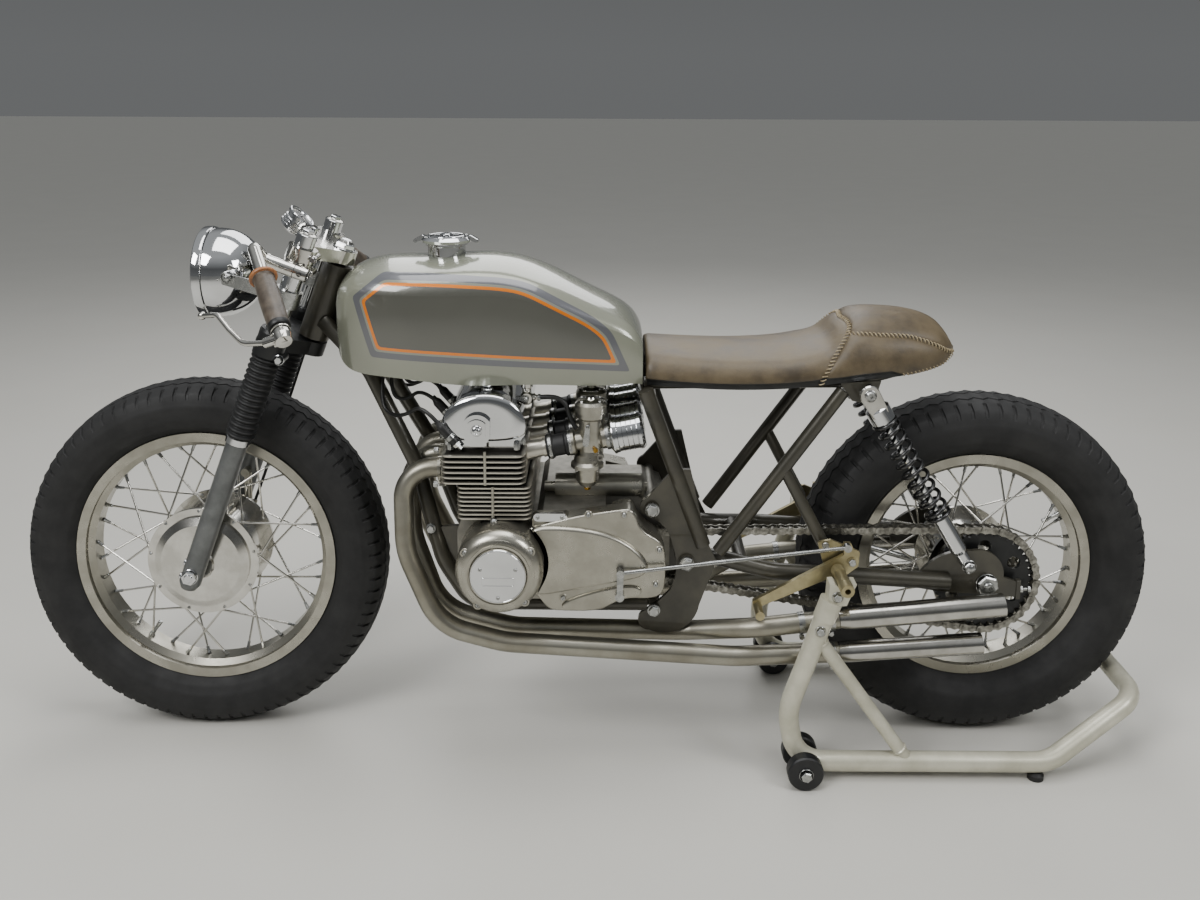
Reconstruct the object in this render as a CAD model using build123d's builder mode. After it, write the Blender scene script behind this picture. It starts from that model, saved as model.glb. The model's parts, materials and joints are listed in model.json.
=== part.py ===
# Cafe racer motorcycle on its paddock stand, in millimetres.
# X runs along the machine with the front wheel at -X, Y across it with the left side at -Y,
# and Z up from the floor. The origin is on the floor, halfway between the two wheel axles.
import os
from math import cos, pi, radians, sin, sqrt

from build123d import *

os.makedirs("parts", exist_ok=True)

# Driving dimensions
wheelbase = 1440
front_tyre_radius = 338
front_tyre_width = 108
front_rim_radius = 243
rear_tyre_radius = 327
rear_tyre_width = 128
rear_rim_radius = 218
rear_lift = 2
rake = 20.5
fork_offset = 50
fork_half = 97.5
stanchion_radius = 17.5
slider_radius = 19.5
stem_radius = 14
axle_radius = 8.5
tube_radius = 14
frame_half = 110
arm_half = 112
chain_y = -84
stand_half = 190
stand_tube_radius = 17.5
castor_radius = 31.5
castor_width = 23
spoke_count = 36
fin_thickness = 2.6
cylinder_pitch = 75
bar_radius = 11
grip_radius = 17.5

# Clearances
running = 0.06
seating = 0.3
moving_gap = 5

# Places worked out from the driving dimensions
front_axle = Vector(-wheelbase / 2, 0, front_tyre_radius)
rear_axle = Vector(wheelbase / 2, 0, rear_tyre_radius + rear_lift)
lean = radians(rake)
leg = Plane(origin=front_axle, x_dir=(cos(lean), 0, -sin(lean)), z_dir=(sin(lean), 0, cos(lean)))
port_rows = [-1.5 * cylinder_pitch, -0.5 * cylinder_pitch, 0.5 * cylinder_pitch, 1.5 * cylinder_pitch]


def on_leg(back, side, up):
    # A point in fork coordinates: back from the leg's line, to the side, up along it.
    return leg.from_local_coords(Vector(back, side, up))


def bar(start, end, radius, mode=Mode.ADD):
    # Straight round bar between two points, or a hole with Mode.SUBTRACT.
    along = Vector(*end) - Vector(*start)
    with BuildSketch(Plane(origin=Vector(*start), z_dir=along)) as section:
        Circle(radius)
    extrude(section.sketch, amount=along.length, mode=mode)


def bent_tube(points, bends, radius):
    # Round tube along straight runs with a rounded corner at each inner point.
    with BuildLine(mode=Mode.PRIVATE) as route:
        FilletPolyline(*points, radius=bends)
    with BuildSketch(Plane(origin=route.line @ 0, z_dir=route.line % 0)) as section:
        Circle(radius)
    sweep(section.sketch, path=route.line)


def closed(points):
    # Edges of a closed outline: (a, b) is a straight run to a point, (via a, via b, a, b) an arc to it.
    with BuildLine(mode=Mode.PRIVATE) as path:
        last = points[0][-2:]
        for point in points[1:] + points[:1]:
            if len(point) == 4:
                ThreePointArc(last, point[:2], point[2:])
            elif Vector(*point) != Vector(*last):
                Line(last, point)
            last = point[-2:]
    return path.edges()


def turned(origin, along, outline, mode=Mode.ADD):
    # Solid of revolution about an axis; the outline's points are (radius, distance along the axis).
    axis = Vector(*along).normalized()
    radial = Plane(origin=Vector(*origin), z_dir=axis).x_dir
    with BuildSketch(Plane(origin=Vector(*origin), x_dir=radial, z_dir=radial.cross(axis))) as section:
        make_face(closed(outline))
    revolve(section.sketch, axis=Axis(Vector(*origin), axis), mode=mode)


def side_plate(outline, y, thickness, corner=0, mode=Mode.ADD):
    # Flat plate lying in the XZ plane, from y towards +Y; the outline's points are (x, z).
    with BuildSketch(Plane(origin=(0, y, 0), x_dir=(1, 0, 0), z_dir=(0, -1, 0))) as section:
        make_face(closed(outline))
        if corner:
            fillet(section.vertices(), radius=corner)
    extrude(section.sketch, amount=-thickness, mode=mode)


def both_sides():
    # Copies what has been built on the left to the right.
    mirror(about=Plane.XZ)


def save(node, name):
    node.part.label = name
    export_step(node.part, f"parts/{name}.step")


# Tyres: the bead sits between the rim's flanges
rim_flange_height = 13
rim_half = 34
rim_wall = 4
rim_well = 11


def tyre(centre, radius, width, rim_radius):
    bead = rim_radius - rim_flange_height + seating
    inside = rim_half - rim_wall - seating
    half = width / 2
    shoulder = radius - 0.28 * half
    bulge = (rim_radius + radius) / 2 - 6
    with BuildSketch(Plane(origin=centre, x_dir=(0, 1, 0), z_dir=(1, 0, 0))) as section:
        with BuildLine():
            Line((-inside, rim_radius), (-inside, bead))
            Line((-inside, bead), (inside, bead))
            Line((inside, bead), (inside, rim_radius))
            ThreePointArc((inside, rim_radius), (half, bulge), (0.86 * half, shoulder))
            ThreePointArc((0.86 * half, shoulder), (0, radius), (-0.86 * half, shoulder))
            ThreePointArc((-0.86 * half, shoulder), (-half, bulge), (-inside, rim_radius))
        make_face()
    revolve(section.sketch, axis=Axis(centre, (0, 1, 0)))


def rim(centre, rim_radius):
    # Alloy rim: two flanges, the bead seats and a well that the spokes pull on.
    seat = rim_radius - rim_flange_height
    turned(centre, (0, 1, 0), [
        (rim_radius, -rim_half), (rim_radius, -rim_half + rim_wall), (seat, -rim_half + rim_wall),
        (seat, -rim_half + 12), (seat - rim_well, -rim_half + 19), (seat - rim_well, rim_half - 19),
        (seat, rim_half - 12), (seat, rim_half - rim_wall), (rim_radius, rim_half - rim_wall),
        (rim_radius, rim_half), (seat - rim_wall, rim_half), (seat - rim_wall, rim_half - 10),
        (seat - rim_well - rim_wall, rim_half - 17), (seat - rim_well - rim_wall, -rim_half + 17),
        (seat - rim_wall, -rim_half + 10), (seat - rim_wall, -rim_half)])


spoke_radius = 1.9
spoke_lead = 36


def spokes(centre, hub_radius, flange_y, rim_radius):
    # Crossed spokes: on each flange, odd ones lean forwards and even ones backwards.
    rim_inside = rim_radius - rim_flange_height - rim_well - rim_wall - 0.9
    for index in range(spoke_count):
        side = -1 if index % 2 else 1
        lean_way = 1 if index % 4 < 2 else -1
        rim_angle = radians(360 / spoke_count * (index + 0.5))
        hub_angle = rim_angle + lean_way * radians(spoke_lead)
        hub_y = side * (flange_y + lean_way * 2.2)
        rim_y = side * (6 + lean_way * 3)
        start = centre + Vector(hub_radius * cos(hub_angle), hub_y, hub_radius * sin(hub_angle))
        end = centre + Vector(rim_inside * cos(rim_angle), rim_y, rim_inside * sin(rim_angle))
        bar(start, end, spoke_radius)


# Front wheel
front_flange_radius = 103
front_flange_y = 44
front_drum_radius = 88

with BuildPart() as front_tyre:
    tyre(front_axle, front_tyre_radius, front_tyre_width, front_rim_radius)
save(front_tyre, "front_tyre")

with BuildPart() as front_rim:
    rim(front_axle, front_rim_radius)
save(front_rim, "front_rim")

with BuildPart() as front_hub:
    turned(front_axle, (0, 1, 0), [
        (axle_radius + running, -70), (24, -70), (27, -66), (front_drum_radius - 14, -62),
        (front_drum_radius, -55), (front_drum_radius, -front_flange_y - 6),
        (front_flange_radius, -front_flange_y - 6), (front_flange_radius, -front_flange_y),
        (front_drum_radius, -front_flange_y), (front_drum_radius, front_flange_y),
        (front_flange_radius, front_flange_y), (front_flange_radius, front_flange_y + 6),
        (front_drum_radius, front_flange_y + 6), (front_drum_radius - 6, front_flange_y + 6),
        (front_drum_radius - 6, 20), (30, 20), (30, front_flange_y),
        (axle_radius + running, front_flange_y)])
    spokes(front_axle, front_flange_radius - 5, front_flange_y + 3, front_rim_radius)
save(front_hub, "front_hub")

# Rear wheel
rear_flange_radius = 88
rear_flange_y = 40
rear_drum_radius = 74
sprocket_teeth = 38
chain_pitch = 15.875
roller_radius = 5.1
sprocket_radius = sprocket_teeth * chain_pitch / (2 * pi)
sprocket_thickness = 7

with BuildPart() as rear_tyre:
    tyre(rear_axle, rear_tyre_radius, rear_tyre_width, rear_rim_radius)
save(rear_tyre, "rear_tyre")

with BuildPart() as rear_rim:
    rim(rear_axle, rear_rim_radius)
save(rear_rim, "rear_rim")

with BuildPart() as rear_hub:
    turned(rear_axle, (0, 1, 0), [
        (axle_radius + running, chain_y + sprocket_thickness / 2), (48, chain_y + sprocket_thickness / 2),
        (52, -rear_flange_y - 18), (rear_drum_radius, -rear_flange_y - 12),
        (rear_drum_radius, -rear_flange_y - 6), (rear_flange_radius, -rear_flange_y - 6),
        (rear_flange_radius, -rear_flange_y), (rear_drum_radius, -rear_flange_y),
        (rear_drum_radius, rear_flange_y), (rear_flange_radius, rear_flange_y),
        (rear_flange_radius, rear_flange_y + 6), (rear_drum_radius - 6, rear_flange_y + 6),
        (rear_drum_radius - 6, 20), (30, 20), (30, rear_flange_y), (axle_radius + running, rear_flange_y)])
    spokes(rear_axle, rear_flange_radius - 5, rear_flange_y + 3, rear_rim_radius)
save(rear_hub, "rear_hub")

with BuildPart() as rear_sprocket:
    tooth_tip = sprocket_radius - roller_radius - 1
    teeth = []
    for tooth in range(sprocket_teeth):
        for share, radius in ((-0.36, tooth_tip - 6), (-0.18, tooth_tip), (0.18, tooth_tip),
                              (0.36, tooth_tip - 6)):
            angle = 2 * pi * (tooth + share) / sprocket_teeth
            teeth.append((rear_axle.X + radius * cos(angle), rear_axle.Z + radius * sin(angle)))
    side_plate(teeth, chain_y - sprocket_thickness / 2, sprocket_thickness)
    bar(rear_axle + Vector(0, chain_y - 10, 0), rear_axle + Vector(0, chain_y + 10, 0),
        axle_radius + running, Mode.SUBTRACT)
    with Locations(Plane(origin=rear_axle + Vector(0, chain_y, 0), z_dir=(0, -1, 0))):
        with PolarLocations(63, 6):
            Hole(12)
save(rear_sprocket, "rear_sprocket")

# Steering: everything that turns with the fork
slider_bottom = -30
slider_top = 277
gaiter_rings = 15
gaiter_valley = 21
gaiter_ring = 26
bottom_yoke_s = 450
bottom_yoke_thickness = 26
gaiter_top = bottom_yoke_s - bottom_yoke_thickness / 2 - 0.5
top_yoke_s = 630
top_yoke_thickness = 24
head_bottom = 468
head_top = 612
stanchion_top = 662

with BuildPart() as fork_sliders:
    turned(on_leg(0, -fork_half, 0), leg.z_dir, [
        (0, slider_bottom), (slider_radius - 5, slider_bottom), (slider_radius, slider_bottom + 10),
        (slider_radius, slider_top - 12), (slider_radius + 3, slider_top - 12),
        (slider_radius + 3, slider_top),
        (stanchion_radius, slider_top), (stanchion_radius, 60), (0, 60)])
    bar(front_axle + Vector(0, -fork_half - 30, 0), front_axle + Vector(0, -fork_half + 30, 0),
        axle_radius, Mode.SUBTRACT)
    both_sides()
save(fork_sliders, "fork_sliders")

with BuildPart() as fork_gaiters:
    ring_step = (gaiter_top - slider_top) / gaiter_rings
    outline = [(stanchion_radius + seating, slider_top + 0.2)]
    outline += [(gaiter_ring if step % 2 else gaiter_valley, slider_top + 0.2 + step * ring_step / 2)
                for step in range(2 * gaiter_rings + 1)]
    outline += [(stanchion_radius + seating, gaiter_top + 0.2)]
    turned(on_leg(0, -fork_half, 0), leg.z_dir, outline)
    both_sides()
save(fork_gaiters, "fork_gaiters")

with BuildPart() as fork_stanchions:
    bar(on_leg(0, -fork_half, 61), on_leg(0, -fork_half, stanchion_top), stanchion_radius)
    both_sides()
save(fork_stanchions, "fork_stanchions")


def yoke(at, thickness, leg_boss, stem_boss):
    # Plate that holds both legs and the stem, seen along the fork.
    front = -leg_boss * 0.6
    back = fork_offset + stem_boss * 0.2
    with BuildSketch(leg.offset(at - thickness / 2)) as plate:
        with Locations((0, -fork_half), (0, fork_half)):
            Circle(leg_boss)
        with Locations((fork_offset, 0)):
            Circle(stem_boss)
        with BuildLine():
            Polyline((front, -fork_half), (front, fork_half), (back, stem_boss * 0.95),
                     (back, -stem_boss * 0.95), close=True)
        make_face()
        with Locations((0, -fork_half), (0, fork_half)):
            Circle(stanchion_radius, mode=Mode.SUBTRACT)
    extrude(plate.sketch, amount=thickness)


with BuildPart() as bottom_yoke:
    yoke(bottom_yoke_s, bottom_yoke_thickness, 27, 27)
    for side in (-1, 1):
        turned(on_leg(0, side * fork_half, bottom_yoke_s), leg.z_dir, [
            (stanchion_radius, 0), (26, 0), (26, 30), (24, 36), (stanchion_radius, 36)])
    bar(on_leg(fork_offset, 0, bottom_yoke_s), on_leg(fork_offset, 0, top_yoke_s - top_yoke_thickness / 2),
        stem_radius)
save(bottom_yoke, "bottom_yoke")

with BuildPart() as top_yoke:
    yoke(top_yoke_s, top_yoke_thickness, 26, 26)
    for side in (-1, 1):
        turned(on_leg(0, side * fork_half, stanchion_top), leg.z_dir, [
            (0, 0.1), (stanchion_radius - 1, 0.1), (stanchion_radius - 1, 4), (10, 7), (0, 7)])
    turned(on_leg(fork_offset, 0, top_yoke_s + top_yoke_thickness / 2), leg.z_dir,
           [(0, 0), (15, 0), (15, 10), (11, 16), (0, 18)])
save(top_yoke, "top_yoke")

# Headlight: a chrome bowl and lens, held by an arm from each leg
light_centre = on_leg(-167.2, 0, 512.9)
bowl_radius = 81
bowl_centre = 22
bowl_mouth = 12
bowl_wall = 4
light_radius = sqrt((bowl_radius - bowl_wall) ** 2 - (bowl_centre - bowl_mouth) ** 2)
light_bolt = light_centre + Vector(69, 0, 8)
bracket_s = 547
bracket_y = fork_half - 3

with BuildPart() as headlight_shell:
    outer = sqrt(bowl_radius**2 - (bowl_centre - bowl_mouth) ** 2)
    back = bowl_centre + bowl_radius
    inner_radius = bowl_radius - bowl_wall
    turned(light_centre, (1, 0, 0), [
        (0, back), (0.707 * bowl_radius, bowl_centre + 0.7072 * bowl_radius, outer, bowl_mouth),
        (outer + 3, bowl_mouth), (outer + 3, -2), (0, -2)])
    for side in (-1, 1):
        bar(light_bolt + Vector(0, side * 50, 0), light_bolt + Vector(0, side * (bracket_y - 0.2), 0), 8)
    turned(light_centre, (1, 0, 0), [
        (0, back - bowl_wall),
        (0.707 * inner_radius, bowl_centre + 0.7072 * inner_radius, light_radius, bowl_mouth),
        (light_radius, -3), (0, -3)], Mode.SUBTRACT)
save(headlight_shell, "headlight_shell")

with BuildPart() as headlight_lens:
    turned(light_centre, (1, 0, 0), [
        (0, -12), (0.55 * light_radius, -9, light_radius - seating, 0), (light_radius - seating, 5), (0, 5)])
save(headlight_lens, "headlight_lens")

with BuildPart() as headlight_brackets:
    turned(on_leg(0, -fork_half, bracket_s - 15), leg.z_dir, [
        (stanchion_radius, 0), (24, 0), (24, 30), (stanchion_radius, 30)])
    arm_low = on_leg(-20, 0, bracket_s - 13)
    arm_high = on_leg(-20, 0, bracket_s + 13)
    side_plate([(light_bolt.X - 12, light_bolt.Z + 9), (light_bolt.X - 12, light_bolt.Z - 12),
                (arm_low.X, arm_low.Z), (arm_high.X, arm_high.Z)], -bracket_y - 6, 6, 4)
    both_sides()
save(headlight_brackets, "headlight_brackets")

# Clip-on bars, grips and inverted bar-end levers
clip_s = 604
clip_side = fork_half + 30.5
clip_radius = 12.5
clip_front = on_leg(-50, -clip_side, clip_s)
bar_elbow = on_leg(-70, -clip_side - 22, clip_s + 23)
bar_end = on_leg(52.9, -clip_side - 182, clip_s - 51.5)
bar_run = bar_end - bar_elbow
grip_start = 0.37
grip_end = 0.96

with BuildPart() as handlebars:
    turned(on_leg(0, -fork_half, clip_s - 13), leg.z_dir, [
        (stanchion_radius, 0), (25, 0), (25, 26), (stanchion_radius, 26)])
    bar(clip_front, on_leg(27, -clip_side, clip_s), clip_radius)
    bar(on_leg(15, -clip_side, clip_s), on_leg(28, -clip_side, clip_s), 6, Mode.SUBTRACT)
    bent_tube([clip_front, bar_elbow, bar_end], [14], bar_radius)
    both_sides()
save(handlebars, "handlebars")

with BuildPart() as grips:
    turned(bar_elbow + bar_run * grip_start, bar_run, [
        (bar_radius + seating, 0), (grip_radius + 5, 0), (grip_radius + 6, 4), (grip_radius, 10),
        (grip_radius, bar_run.length * (grip_end - grip_start)),
        (bar_radius + seating, bar_run.length * (grip_end - grip_start))])
    both_sides()
save(grips, "grips")

# The lever's corners, each measured from the bar's end
lever_steps = [(-3, -15.5, -12), (-62, 8, -20), (-90, 28, -3), (-116, 50, 17), (-149, 74, 10)]
lever_points = [bar_end + Vector(*lever_step) for lever_step in lever_steps]

with BuildPart() as levers:
    turned(bar_end + bar_run * 0.002, bar_run, [(0, 0), (14, 0), (15, 8), (13, 20), (0, 22)])
    bent_tube(lever_points, [30, 30, 22], 4.5)
    bar(bar_end + Vector(12, -15, -2), lever_points[0] + (lever_points[1] - lever_points[0]) * 0.35, 8)
    turned(lever_points[-1], lever_points[-1] - lever_points[-2], [(0, -7), (7, 0, 0, 7)])
    both_sides()
save(levers, "levers")

# Small chrome speedometer above the top yoke
speedo_centre = on_leg(-43, -20, top_yoke_s + top_yoke_thickness / 2 + 17)
speedo_axis = Vector(0.707, 0, 0.707)
speedo_radius = 24

with BuildPart() as speedometer:
    turned(speedo_centre, speedo_axis, [
        (0, -18), (10, -18), (speedo_radius - 2, -12), (speedo_radius - 2, -9), (speedo_radius, -9),
        (speedo_radius, -6), (speedo_radius - 2, -6), (speedo_radius - 2, -3), (speedo_radius, -3),
        (speedo_radius, 0), (speedo_radius - 2, 0), (speedo_radius - 2, 3), (speedo_radius, 3),
        (speedo_radius, 6), (speedo_radius - 2, 6), (speedo_radius - 2, 14), (speedo_radius + 2, 14),
        (speedo_radius + 2, 19), (speedo_radius - 2, 19), (speedo_radius - 3, 16), (0, 16)])
    stalk_s = top_yoke_s + top_yoke_thickness / 2
    bar(on_leg(-6, -20, stalk_s + 0.2), on_leg(-6, -20, stalk_s + 18), 5)
    bar(on_leg(-6, -20, stalk_s + 13), speedo_centre - speedo_axis * 6, 5)
save(speedometer, "speedometer")

# Front axle with the brake plate on the right, its torque arm and its cable
front_cable_points = [on_leg(15, clip_side, clip_s - clip_radius - seating), Vector(-546, 150, 756),
                      Vector(-600, 140, 600), Vector(-640, 112, 470), Vector(-662, 88, 404)]

with BuildPart() as front_brake:
    bar(front_axle + Vector(0, -fork_half - 26, 0), front_axle + Vector(0, fork_half + 26, 0), axle_radius)
    plate_y = front_flange_y + 6 + moving_gap
    turned(front_axle, (0, 1, 0), [
        (0, plate_y), (front_drum_radius - 8, plate_y), (front_drum_radius - 8, plate_y + 4),
        (60, plate_y + 10), (26, plate_y + 14), (20, plate_y + 22), (0, plate_y + 22)])
    bar(on_leg(40, plate_y + 6, 45), on_leg(4, 68, 140), 7)
    bar(on_leg(0, 60, 140), on_leg(0, fork_half - slider_radius - 0.2, 140), 8)
    bar((-670, plate_y + 3, 386), (-670, plate_y + 30, 386), 6)
    cable_end, before = front_cable_points[-1], front_cable_points[-2]
    bar(cable_end, cable_end + (cable_end - before) * 0.3, 5)
save(front_brake, "front_brake")

with BuildPart() as front_brake_cable:
    bent_tube(front_cable_points, [300, 400, 300], 3)
save(front_brake_cable, "front_brake_cable")

# Main frame: headstock, backbone, downtubes, lower rails, seat tubes and side plates
backbone_radius = 19
case_front = -232
head_radius = 28
plate_thickness = 8
seat_tube_top = Vector(99, -frame_half, 689)
seat_tube_foot = Vector(205, -frame_half, 402)
pivot = Vector(176, 0, 371)
downtube_points = [on_leg(60.2, -22, 507.2), on_leg(173.1, -48, 456.5), (-312, -78, 540),
                   (-262, -frame_half, 372), (-212, -frame_half, 291), (106, -frame_half, 291)]
plate_outline = [(150, 545), (104, 492), (92, 478, 96, 462), (128, 445, 150, 405), (158, 362, 148, 318),
                 (128, 297, 98, 275), (90, 258, 110, 240), (165, 240, 200, 288), (230, 373), (212, 410),
                 (180, 545)]

with BuildPart() as frame_main:
    bar(on_leg(fork_offset, 0, head_bottom), on_leg(fork_offset, 0, head_top), head_radius)
    bar(on_leg(fork_offset, 0, 545), (100, 0, 690), backbone_radius)
    bent_tube(downtube_points, [60, 80, 120, 55], tube_radius)
    bar(seat_tube_top, seat_tube_foot, tube_radius)
    side_plate(plate_outline, -frame_half - plate_thickness / 2, plate_thickness)
    bar((pivot.X, -frame_half - 9, pivot.Z), (pivot.X, -frame_half + plate_thickness / 2, pivot.Z), 15)
    side_plate([(case_front - 0.2, 352), (case_front - 0.2, 434), (-280, 430), (-259, 362)], -105, 10)
    both_sides()
    bar((104, -frame_half, 676), (104, frame_half, 676), tube_radius)
    gusset = [on_leg(back, 0, up) for back, up in
              ((60.1, 553.1), (83, 577.6), (199.3, 580.6), (135.1, 466.9), (70, 498.1))]
    side_plate([(corner.X, corner.Z) for corner in gusset], -3, 6)
    bar(on_leg(fork_offset, 0, head_bottom - 1), on_leg(fork_offset, 0, head_top + 1), stem_radius + running,
        Mode.SUBTRACT)
save(frame_main, "frame_main")

# Rear subframe: diagonals, struts, seat rails, shock and rearset brackets
subframe_radius = 12.5
shock_top = Vector(486, -125, 690)
shock_foot = rear_axle + Vector(-43, -125, 46)
stud_radius = 6
strut_foot = Vector(420, -arm_half, 408)
rail_y = 78
rail_radius = 11
rail_points = [(97, -rail_y, 694), (470, -rail_y, 698), (584, -56, 722), (584, 56, 722), (470, rail_y, 698),
               (97, rail_y, 694)]

with BuildPart() as frame_rear:
    bar((447, -107, 690), (233.5, -frame_half, 389.5), subframe_radius)
    bar((346, -108, 548), strut_foot, 11)
    side_plate([(440, 704), (512, 708), (503, 676), (486, 666), (462, 672)], -110, 7)
    bar((shock_top.X, -106, shock_top.Z), (shock_top.X, shock_top.Y - 18, shock_top.Z), stud_radius)
    bar(strut_foot, strut_foot - Vector(0, 17, 0), 9)
    bar((462, -106, 692), (462, 0, 692), 10)
    both_sides()
    bent_tube(rail_points, [200, 24, 24, 200], rail_radius)
    bar((104, -120, 676), (104, 120, 676), tube_radius + 0.2, Mode.SUBTRACT)
save(frame_rear, "frame_rear")

# Swingarm
arm_radius = 15
axle_plate_y = 104
arm_bend = Vector(330, -arm_half, 354)
arm_tip = Vector(rear_axle.X - 70, -arm_half, rear_axle.Z + 7)
# The axle plate's outline, measured from the axle
axle_plate_outline = [(-120, -9), (-120, 23), (-80, 55, -30, 63), (18, 49, 30, 13), (60, 3), (60, -25),
                      (-80, -15)]

with BuildPart() as swingarm:
    bar((pivot.X, 0, pivot.Z), (pivot.X, -frame_half + plate_thickness / 2 + seating, pivot.Z), 20)
    bent_tube([(pivot.X, -80, pivot.Z), (240, -84, 366), arm_bend, arm_tip], [60, 60], arm_radius)
    bar((278, 0, 361), (278, -92, 361), 13)
    axle_place = (rear_axle.X, rear_axle.Z)
    side_plate([tuple(value + axle_place[place % 2] for place, value in enumerate(corner))
                for corner in axle_plate_outline], -axle_plate_y - 4, 8)
    bar((shock_foot.X, -axle_plate_y, shock_foot.Z), shock_foot - Vector(0, 18, 0), stud_radius)
    bar(rear_axle + Vector(0, -axle_plate_y - 10, 0), rear_axle + Vector(0, -axle_plate_y + 10, 0),
        axle_radius + 0.1, Mode.SUBTRACT)
    both_sides()
save(swingarm, "swingarm")

# Shocks and their springs
shock_line = shock_foot - shock_top
shock_length = shock_line.length
spring_start = 58
spring_end = 262
spring_turns = 11
spring_radius = 24

with BuildPart() as shocks:
    turned(shock_top, shock_line, [
        (0, -12), (12, -12), (12, 24), (22, 32), (22, spring_start - 2), (6.5, spring_start - 2),
        (6.5, spring_end), (15, spring_end + 2), (15, shock_length - 34), (11, shock_length - 26),
        (11, shock_length + 13), (0, shock_length + 13)])
    for eye in (shock_top, shock_foot):
        bar(eye - Vector(0, 30, 0), eye + Vector(0, 30, 0), stud_radius + 0.1, Mode.SUBTRACT)
    both_sides()
save(shocks, "shocks")

with BuildPart() as shock_springs:
    step = (spring_end - spring_start) / spring_turns
    ribs = [(9, spring_start)]
    for turn in range(spring_turns):
        ribs += [(spring_radius - 4, spring_start + turn * step),
                 (spring_radius, spring_start + (turn + 0.5) * step)]
    ribs += [(spring_radius - 4, spring_end), (9, spring_end)]
    turned(shock_top, shock_line, ribs)
    both_sides()
save(shock_springs, "shock_springs")

# Engine: crankcase with its sump, mounts and output sprocket
crank = Vector(-152, 0, 398)
output = Vector(95, chain_y, 375)
front_sprocket_radius = 17 * chain_pitch / (2 * pi)
case_half = 140

with BuildPart() as crankcase:
    side_plate([(-216, 340), (case_front, 372), (case_front, 440), (-222, 466), (-92, 466), (-80, 478),
                (30, 478), (30, 318), (-60, 312), (-186, 312), (-206, 320)], -case_half, 2 * case_half)
    side_plate([(29, 318), (29, 478), (100, 478), (135, 462), (148, 430), (148, 330), (125, 264), (60, 262),
                (0, 300)], -66, 160)
    side_plate([(-190, 313), (40, 313), (40, 280), (20, 268), (-170, 268), (-190, 285)], -80, 160)
    bar((output.X, -60, output.Z), (output.X, chain_y - 8, output.Z), 13)
    turned((output.X, 0, output.Z), (0, 1, 0), [
        (0, chain_y - 3.5), (front_sprocket_radius - roller_radius - 1, chain_y - 3.5),
        (front_sprocket_radius - roller_radius - 1, chain_y + 3.5), (0, chain_y + 3.5)])
    for x, z in ((114, 466), (121, 274)):
        mount_half = frame_half - plate_thickness / 2 - 0.2
        bar((x, -mount_half, z), (x, mount_half, z), 10)
save(crankcase, "crankcase")

# Finned cylinder block and head
block_half = 176
head_half = 184
cylinder_base = 466
head_base = 538
head_deck = 598
port_z = 547
port_face = -262


def fins(x_from, x_to, half, z_from, pitch, count, corner):
    # A stack of cooling fins with rounded corners.
    for index in range(count):
        with BuildSketch(Plane.XY.offset(z_from + index * pitch)) as fin:
            with Locations(((x_from + x_to) / 2, 0)):
                RectangleRounded(x_to - x_from, 2 * half, corner)
        extrude(fin.sketch, amount=fin_thickness)


def intake(row, along):
    # A point on the axis of one cylinder's intake, carburettor and filter.
    return Vector(-110 + along, row, 579 + 0.19 * along)


with BuildPart() as cylinders:
    side_plate([(-212, cylinder_base), (-212, head_base), (-112, head_base), (-112, cylinder_base)],
               -case_half + 0.2, 2 * case_half - 0.4)
    fins(-228, -99, block_half, cylinder_base + 9, 7.9, 8, 14)
save(cylinders, "cylinders")

with BuildPart() as cylinder_head:
    side_plate([(-238, head_base + 0.2), (-238, head_deck), (-122, head_deck), (-122, head_base + 0.2)],
               -head_half + 22, 2 * head_half - 44)
    fins(-254, -108, head_half, head_base + 4, 9.6, 6, 16)
    for row in port_rows:
        bar((-236, row, port_z), (port_face, row, port_z), 20)
        turned(intake(row, -14), intake(row, 14) - intake(row, -14), [
            (0, 0), (19, 0), (15, 44), (17, 44), (17, 50), (0, 50)])
save(cylinder_head, "cylinder_head")

with BuildPart() as rocker_cover:
    side_plate([(-244, head_deck + 0.2), (-244, 612), (-252, 622), (-250, 642), (-230, 674, -192, 687),
                (-140, 684, -115, 652), (-110, 622), (-118, 612), (-118, head_deck + 0.2)], -158, 316)
    for y in (-118, -37, 37, 118):
        side_plate([(-232, 640), (-222, 684), (-206, 692), (-150, 692), (-134, 680), (-128, 640)], y - 9, 18)
    for y in (-176, 157):
        side_plate([(-213, 621), (-213, 651), (-193, 663, -169, 651), (-169, 622), (-178, 607),
                    (-203, 607)], y, 19)
        side_plate([(-206, 624), (-206, 648), (-191, 655, -176, 648), (-176, 625), (-182, 615),
                    (-200, 615)], y - 3 if y < 0 else y + 18, 4)
save(rocker_cover, "rocker_cover")

# Side covers
with BuildPart() as alternator_cover:
    turned((crank.X, -case_half, crank.Z), (0, -1, 0), [
        (0, 0), (75.5, 0), (75.5, 70), (64, 86, 55, 89), (55, 92), (52, 92), (52, 90), (50, 90), (48, 94),
        (0, 95)])
save(alternator_cover, "alternator_cover")

cover_depth = 32
cover_outline = [(-112, 345), (-112, 458), (-20, 480), (76, 494), (84, 466), (104, 446), (124, 436),
                 (134, 412), (134, 345), (112, 328), (60, 330), (20, 305), (-60, 305), (-75, 325)]

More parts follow.
